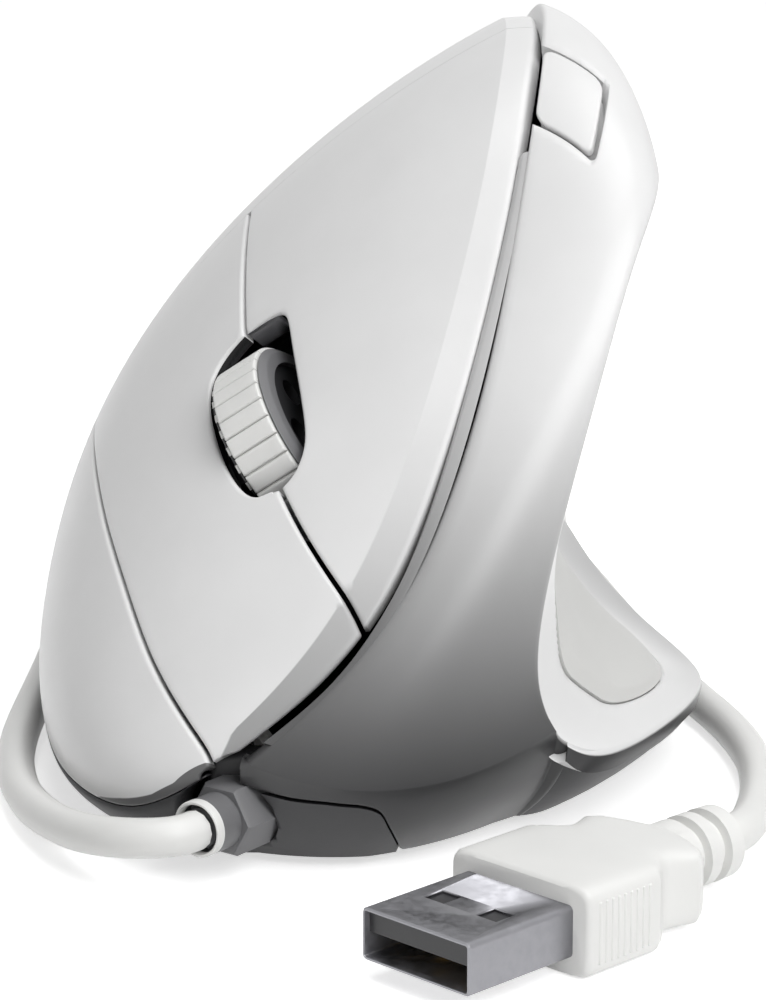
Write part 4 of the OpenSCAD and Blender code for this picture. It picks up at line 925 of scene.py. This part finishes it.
baseHoles = {"screws": [(-15, -30), (9, -34), (-11, 42), (8, 42)], "head": 2.5, "headTop": 2.0, "shank": 1.3,
             "shankTop": 9.0, "window": (9, 13), "windowAt": (-2, 6), "collar": (3.6, -8, 7), "collarUp": 0.3}
holeCutters = [block("windowHole", (*baseHoles["window"], 8), (*baseHoles["windowAt"], 2), 0)]
for screwAt in baseHoles["screws"]:
    for width in ("head", "shank"):
        hole = rod("screwHole", baseHoles[width], -1, baseHoles[width + "Top"])
        holeCutters.append(place(hole, (*screwAt, 0), (1, 0, 0), (0, 1, 0), (0, 0, 1)))
collarAt, collarAxes = (-12.2, -55.2, 5.6), ((0.8, -0.6, 0.0), (0, 0, 1), (-0.6, -0.8, 0.0))
collarHoleAt = np.array(collarAt) + [0, 0, baseHoles["collarUp"]]
holeCutters.append(place(rod("collarHole", *baseHoles["collar"]), collarHoleAt, *collarAxes))
cutAway(baseHull, holeCutters)
join(baseHull, *[block(name, size, at, 0.8, [graphiteAbs]) for name, (size, at) in hull["bridges"].items()])
print("base made")

# Cord collar: a grey sleeve with a thin pale rim, dark inside, held by a six-sided nut
collarParts = {
    "sleeve": [(0.3, 3.4), (1.72, 3.4), (1.72, 2.4), (2.15, 2.4), (2.15, 3.3), (2.5, 3.3), (2.5, -5), (0.3, -5)],
    "rim": [(2.15, 3.2), (2.15, 3.85), (2.25, 4.0), (2.4, 4.0), (2.52, 3.85), (2.52, 3.2)],
    "nut": [(2.45, 0.9), (3.2, 0.9), (3.45, 0.6), (3.45, -5), (2.45, -5)],
}
collar = revolve("cordCollar", collarParts["sleeve"], [flankTpe])
join(collar, revolve("collarRim", collarParts["rim"], [mouldPvc]),
     revolve("collarNut", collarParts["nut"], [flankTpe], 6))
place(collar, collarAt, *collarAxes)

# Wheel: pale tread pads on the tyre, a dark left ring with pale dashes that are painted highlights, and a grey right
# flank
wheel = {
    "centre": (-6.72255, -28.2191, 31.7316),
    "axes": ((-0.165244, 0.843088, 0.511758), (-0.570442, -0.504992, 0.647749), (0.804544, -0.184891, 0.56438)),
    "pads": 30, "padHalf": 5.55, "padZ": (-2.45, 2.25), "padRadius": 8.98, "padWall": 0.5, "padEdge": 0.2,
    "tyre": [(6.85, -2.6), (8.3, -2.6), (8.62, -2.35), (8.68, 0), (8.62, 2.2), (8.4, 2.35), (6.85, 2.35)],
    "leftRing": [(7.2, -2.85), (8.4, -2.85), (8.55, -2.75), (8.55, -2.6), (8.4, -2.5), (7.2, -2.5)],
    "flank": [(8.45, 2.3), (8.65, 2.45), (8.1, 2.95), (7.9, 3.0), (6.9, 3.0), (6.9, 2.3)],
    "dash": (0.12, 0.8, 0.25), "glintAt": (8.53, 0, -2.68),
}
padZ = np.unique(np.concatenate([np.linspace(*wheel["padZ"], 7), wheel["padZ"][0] + edgeSteps[:4],
                                 wheel["padZ"][1] - edgeSteps[:4]]))
padShare = np.unique(np.concatenate([np.linspace(-1, 1, 5), [-0.94, -0.86, -0.76, 0.76, 0.86, 0.94]]))
padAngle = np.radians(padShare * wheel["padHalf"])
padGrid = wheel["padRadius"] * np.stack([np.cos(padAngle), np.sin(padAngle), 0 * padAngle], -1)[None]
padGrid = padGrid + padZ[:, None, None] * [0, 0, 1]
treadPad = shellPiece("treadPad", padGrid, cells(padGrid), wheel["padWall"], wheel["padEdge"], [tyreTpe])
padTurn = 360 / wheel["pads"]
treadPads = repeated("treadPads", treadPad, wheel["pads"], tyreTpe, turn=padTurn)
# painted highlights: a small pale block at each pad on the dark left ring
dash = block("dash", wheel["dash"], (0, 0, 0), 0.03)
paintedGlints = repeated("ringDashes", dash, wheel["pads"], tyreTpe, start=wheel["glintAt"], turn=padTurn)
wheelTyre = revolve("wheelTyre", wheel["tyre"], [grooveShadeTpe], 120)
join(wheelTyre, treadPads, paintedGlints, revolve("leftRing", wheel["leftRing"], [glossBlack], 120),
     revolve("rightFlank", wheel["flank"], [flankTpe], 120))
place(wheelTyre, wheel["centre"], *wheel["axes"])
print("collar and wheel made")

# Cord: out of the collar, back along the finger side to a coil behind the body, and along the thumb side to the plug
cordPlan = {
    "thick": 3.5, "exit": (-14.6, -58.4, 5.6), "way": (-0.6, -0.8, 0.0), "floor": 1.75,
    "coilAt": (-3, 95.2, 2.45), "turns": 4, "pitch": 3.8, "upperPitch": 3.65, "inner": 12.6, "rise": 4.2, "climb": 0.5,
    "plugAt": (30, -56.5, 4), "plugTurn": 225.0,
    "lead": [(-20.8, -59.6, 5.2), (-25.2, -54.6, 4), (-28.6, -47, 2.8), (-31.2, -39, 2), (-32.6, -30.5, 0),
             (-33, -21.5, 0), (-32.4, -11, 0), (-31.7, 0, 0), (-31.2, 12, 0), (-30.7, 25, 0), (-30.6, 38, 0),
             (-30.6, 52, 0), (-30.6, 68, 0)],
    "tail": [(22.8, 78, 5.2), (21.6, 70, 3.6), (20.4, 62, 1.9), (20, 56, 0), (20.4, 46, 0), (22, 36.5, 0),
             (23.7, 28, 0), (25.3, 19, 0), (27.1, 10, 0), (29, 1, 0), (31, -8, 0), (33.4, -15.5, 0),
             (35.2, -23.5, 0), (35.8, -33, 1.9), (34.6, -43, 2.6)],
}
exitPoint, exitWay = np.array(cordPlan["exit"]), np.array(cordPlan["way"])
plugAngle = math.radians(cordPlan["plugTurn"])
plugAt, plugWay = np.array(cordPlan["plugAt"], float), np.array([math.cos(plugAngle), math.sin(plugAngle), 0])


def onFloor(points):
    points = np.array(points, float)
    points[:, 2] = np.maximum(points[:, 2], cordPlan["floor"])
    return points


def coilPoint(u):
    turns, climb = cordPlan["turns"], cordPlan["climb"]
    outerRadius = cordPlan["inner"] + cordPlan["pitch"] * turns
    k = np.clip((u - turns) / climb, 0, 1)
    r = np.where(u < turns, outerRadius - cordPlan["pitch"] * u,
                 np.where(u > turns + climb, cordPlan["inner"] + cordPlan["upperPitch"] * (u - turns - climb),
                          cordPlan["inner"] - cordPlan["pitch"] / 4 * np.sin(math.pi * k)))
    g = np.radians(180 - 360 * u)
    z = cordPlan["rise"] * (1 - np.cos(math.pi * k)) / 2
    return np.array(cordPlan["coilAt"]) + np.stack([r * np.cos(g), r * np.sin(g), z], -1)


coilLast = 2 * cordPlan["turns"] + cordPlan["climb"]
coilLine = coilPoint(np.arange(24 * coilLast + 1) / 24)  # 24 points a turn
coilIn, coilOut = (unit(np.diff(coilPoint(np.array(pair)), axis=0)[0])
                   for pair in ((0, 0.002), (coilLast - 0.002, coilLast)))
coilHead, coilEnd = coilLine[0] - cordPlan["thick"] * coilIn, coilLine[-1] + cordPlan["thick"] * coilOut
leadPoints = np.vstack([exitPoint, exitPoint + 2.5 * exitWay, onFloor(cordPlan["lead"]),
                        coilHead - 8 * coilIn, coilHead])
tailPoints = np.vstack([coilEnd, coilEnd + 4 * coilOut, onFloor(cordPlan["tail"]), plugAt - 4 * plugWay, plugAt])
cordLine = np.concatenate([splineAt(leadPoints, np.linspace(0, 1, 33))[:-1], coilHead[None], coilLine, coilEnd[None],
                           splineAt(tailPoints, np.linspace(0, 1, 33))[1:]])
cordCurve = bpy.data.curves.new("cord", "CURVE")
cordCurve.dimensions = "3D"
cordCurve.bevel_depth = cordPlan["thick"] / 2 * mm
cordCurve.bevel_resolution = 4
cordCurve.resolution_u = 4
cordCurve.use_fill_caps = True
cordSpline = cordCurve.splines.new("BEZIER")
cordSpline.bezier_points.add(len(cordLine) - 1)
heading = unit(np.gradient(cordLine, axis=0))
heading[0], heading[-1] = exitWay, plugWay
heading[cordLine[:, 2] < cordPlan["floor"] + 0.02, 2] = 0
reach = np.linalg.norm(np.diff(cordLine, axis=0), axis=-1) / 3
for k, point in enumerate(cordSpline.bezier_points):
    point.handle_left_type = point.handle_right_type = "FREE"
    point.co = Vector(cordLine[k]) * mm
    point.handle_left = Vector(cordLine[k] - heading[k] * reach[max(k - 1, 0)]) * mm
    point.handle_right = Vector(cordLine[k] + heading[k] * reach[min(k, len(reach) - 1)]) * mm
cordCurve.materials.append(cordPvc)
cord = bpy.data.objects.new("cord", cordCurve)
scene.collection.objects.link(cord)

# Plug: ribbed relief, waisted overmould with grip ribs, folded steel shell
plug = {
    "sections": [(0, 2.9, 2.9, 2), (0.25, 3.2, 3.2, 2), (1.9, 3.25, 3.25, 2), (2.05, 2.5, 2.5, 2), (3.0, 2.5, 2.5, 2),
                 (3.15, 3.25, 3.25, 2), (4.5, 3.25, 3.25, 2), (4.65, 2.5, 2.5, 2), (5.6, 2.5, 2.5, 2),
                 (5.75, 3.25, 3.25, 2), (7.4, 3.25, 3.25, 2), (7.6, 3.6, 3.1, 2.6), (8.4, 5.2, 3.3, 4),
                 (9.4, 6.4, 3.45, 6), (10.2, 6.75, 3.5, 7), (11.2, 6.3, 3.55, 7), (12.5, 5.75, 3.65, 7),
                 (13.6, 5.7, 3.75, 7), (14.6, 6.4, 3.85, 7), (15.4, 7.2, 3.88, 8), (16.2, 7.6, 3.9, 8),
                 (16.25, 7.68, 3.98, 8), (16.6, 7.75, 4.0, 8), (24.4, 7.75, 4.0, 8), (24.8, 7.6, 3.85, 8),
                 (25, 7.3, 3.6, 8)],  # along the plug, half width, half height and power of each ring
    "rib": (0.36, 0.5, 5.4), "ribs": 9, "ribFrom": 17.6, "ribStep": 0.75, "ribY": 7.62,
    "shellX": (19.0, 37.0), "shellHalf": (6.0, 2.25), "shellWall": 0.3, "shellCorner": 0.5,
    "window": (2.3, 2.3, 6.0), "windowX": 30.8, "windowY": 2.9,
}
plugAxes = (plugWay, (plugWay[1] * -1, plugWay[0], 0.0), (0.0, 0.0, 1.0))


def superRing(x, wide, high, power, count=72):
    angle = np.linspace(0, 2 * math.pi, count + 1)[:-1]
    y, z = (np.sign(w) * np.abs(w) ** (2 / power) for w in (np.cos(angle), np.sin(angle)))
    return np.stack([np.full(count, float(x)), wide * y, high * z], -1)


def boxRing(x, wide, high, corner, count=7):
    points = []
    for quarter, (sy, sz) in enumerate(((1, 1), (-1, 1), (-1, -1), (1, -1))):
        a = np.linspace(0, math.pi / 2, count) + quarter * math.pi / 2
        y, z = sy * (wide - corner) + corner * np.cos(a), sz * (high - corner) + corner * np.sin(a)
        points.append(np.stack([np.full(count, float(x)), y, z], -1))
    return np.concatenate(points)


plugMould = loft("plugOvermould", [superRing(*s) for s in plug["sections"]], [mouldPvc])
for sign in (1, -1):
    rib = block("gripRib", plug["rib"], (0, 0, 0), 0.15)
    ribAt = (plug["ribFrom"], sign * plug["ribY"], 0)
    join(plugMould, repeated("gripRibs", rib, plug["ribs"], mouldPvc, ribAt, (plug["ribStep"], 0, 0)))
place(plugMould, plugAt, *plugAxes)
(wideHalf, highHalf), thin, (shellBack, shellFront) = plug["shellHalf"], plug["shellWall"], plug["shellX"]
shellLine = ((shellBack, 0), (shellFront - 0.15, 0), (shellFront, 0.12), (shellFront, thin - 0.05),
             (shellFront - 0.1, thin), (shellBack, thin))  # along the plug and in from its outside
shellRings = [boxRing(x, wideHalf - d, highHalf - d, max(plug["shellCorner"] - d, 0.15)) for x, d in shellLine]
plugSteel = loft("plugShell", shellRings, [nickelPlate], closed=True)
cutAway(plugSteel, [block("plugWindow", plug["window"], (plug["windowX"], sign * plug["windowY"], 0), 0)
                    for sign in (1, -1)])
place(plugSteel, plugAt, *plugAxes)
print("plug made")

shown = [
    (fingerShell, "base", "finger_shell", "shell_plastic"),
    (thumbShell, "base", "thumb_shell", "shell_plastic"),
    (thumbPad, "base", "thumb_pad", "pad_plastic"),
    (baseHull, "base", "bottom_shell", "base_plastic"),
    (collar, "base", "strain_relief", "cord_sheath"),
    (plugMould, "base", "plug_overmould", "cord_sheath"),
    (plugSteel, "base", "plug_shell", "plug_steel"),
    (leftKey, "left_key", "left_button", "shell_plastic"),
    (rightKey, "right_key", "right_button", "shell_plastic"),
    (forwardKey, "forward_key", "forward_button", "shell_plastic"),
    (backKey, "back_key", "back_button", "shell_plastic"),
    (dpiKey, "resolution_key", "dpi_button", "shell_plastic"),
    (wheelTyre, "wheel", "wheel_tyre", "wheel_rubber"),
    (cord, "base", "cord_lead cord_coil cord_tail", "cord_sheath"),
]
for piece, body, stoodFor, slotName in shown:
    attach(piece, body)
    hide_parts(*stoodFor.split())

innerFinishes = [
    (boardMask, "button_board side_board dpi_board main_board"),
    (mattBlack, "wheel_hub wheel_carrier encoder left_switch right_switch middle_switch forward_switch back_switch "
                "dpi_switch chassis sensor_chip cord_connector cord_tie"),
    (ivoryPom, "left_plunger right_plunger middle_plunger forward_plunger back_plunger dpi_plunger"),
    (plainSteel, "wheel_guides case_screws"),
    (clearLens, "sensor_lens light_source"),
    (glidePtfe, "glide_feet"),
    (cordPvc, "cord_inner"),
    (tongueShadePbt, "plug_tongue"),
    (contactGold, "plug_contacts"),
]
for finish, names in innerFinishes:
    for name in names.split():
        for slot in nodes[name].material_slots:
            slot.material = finish

print("pieces placed")
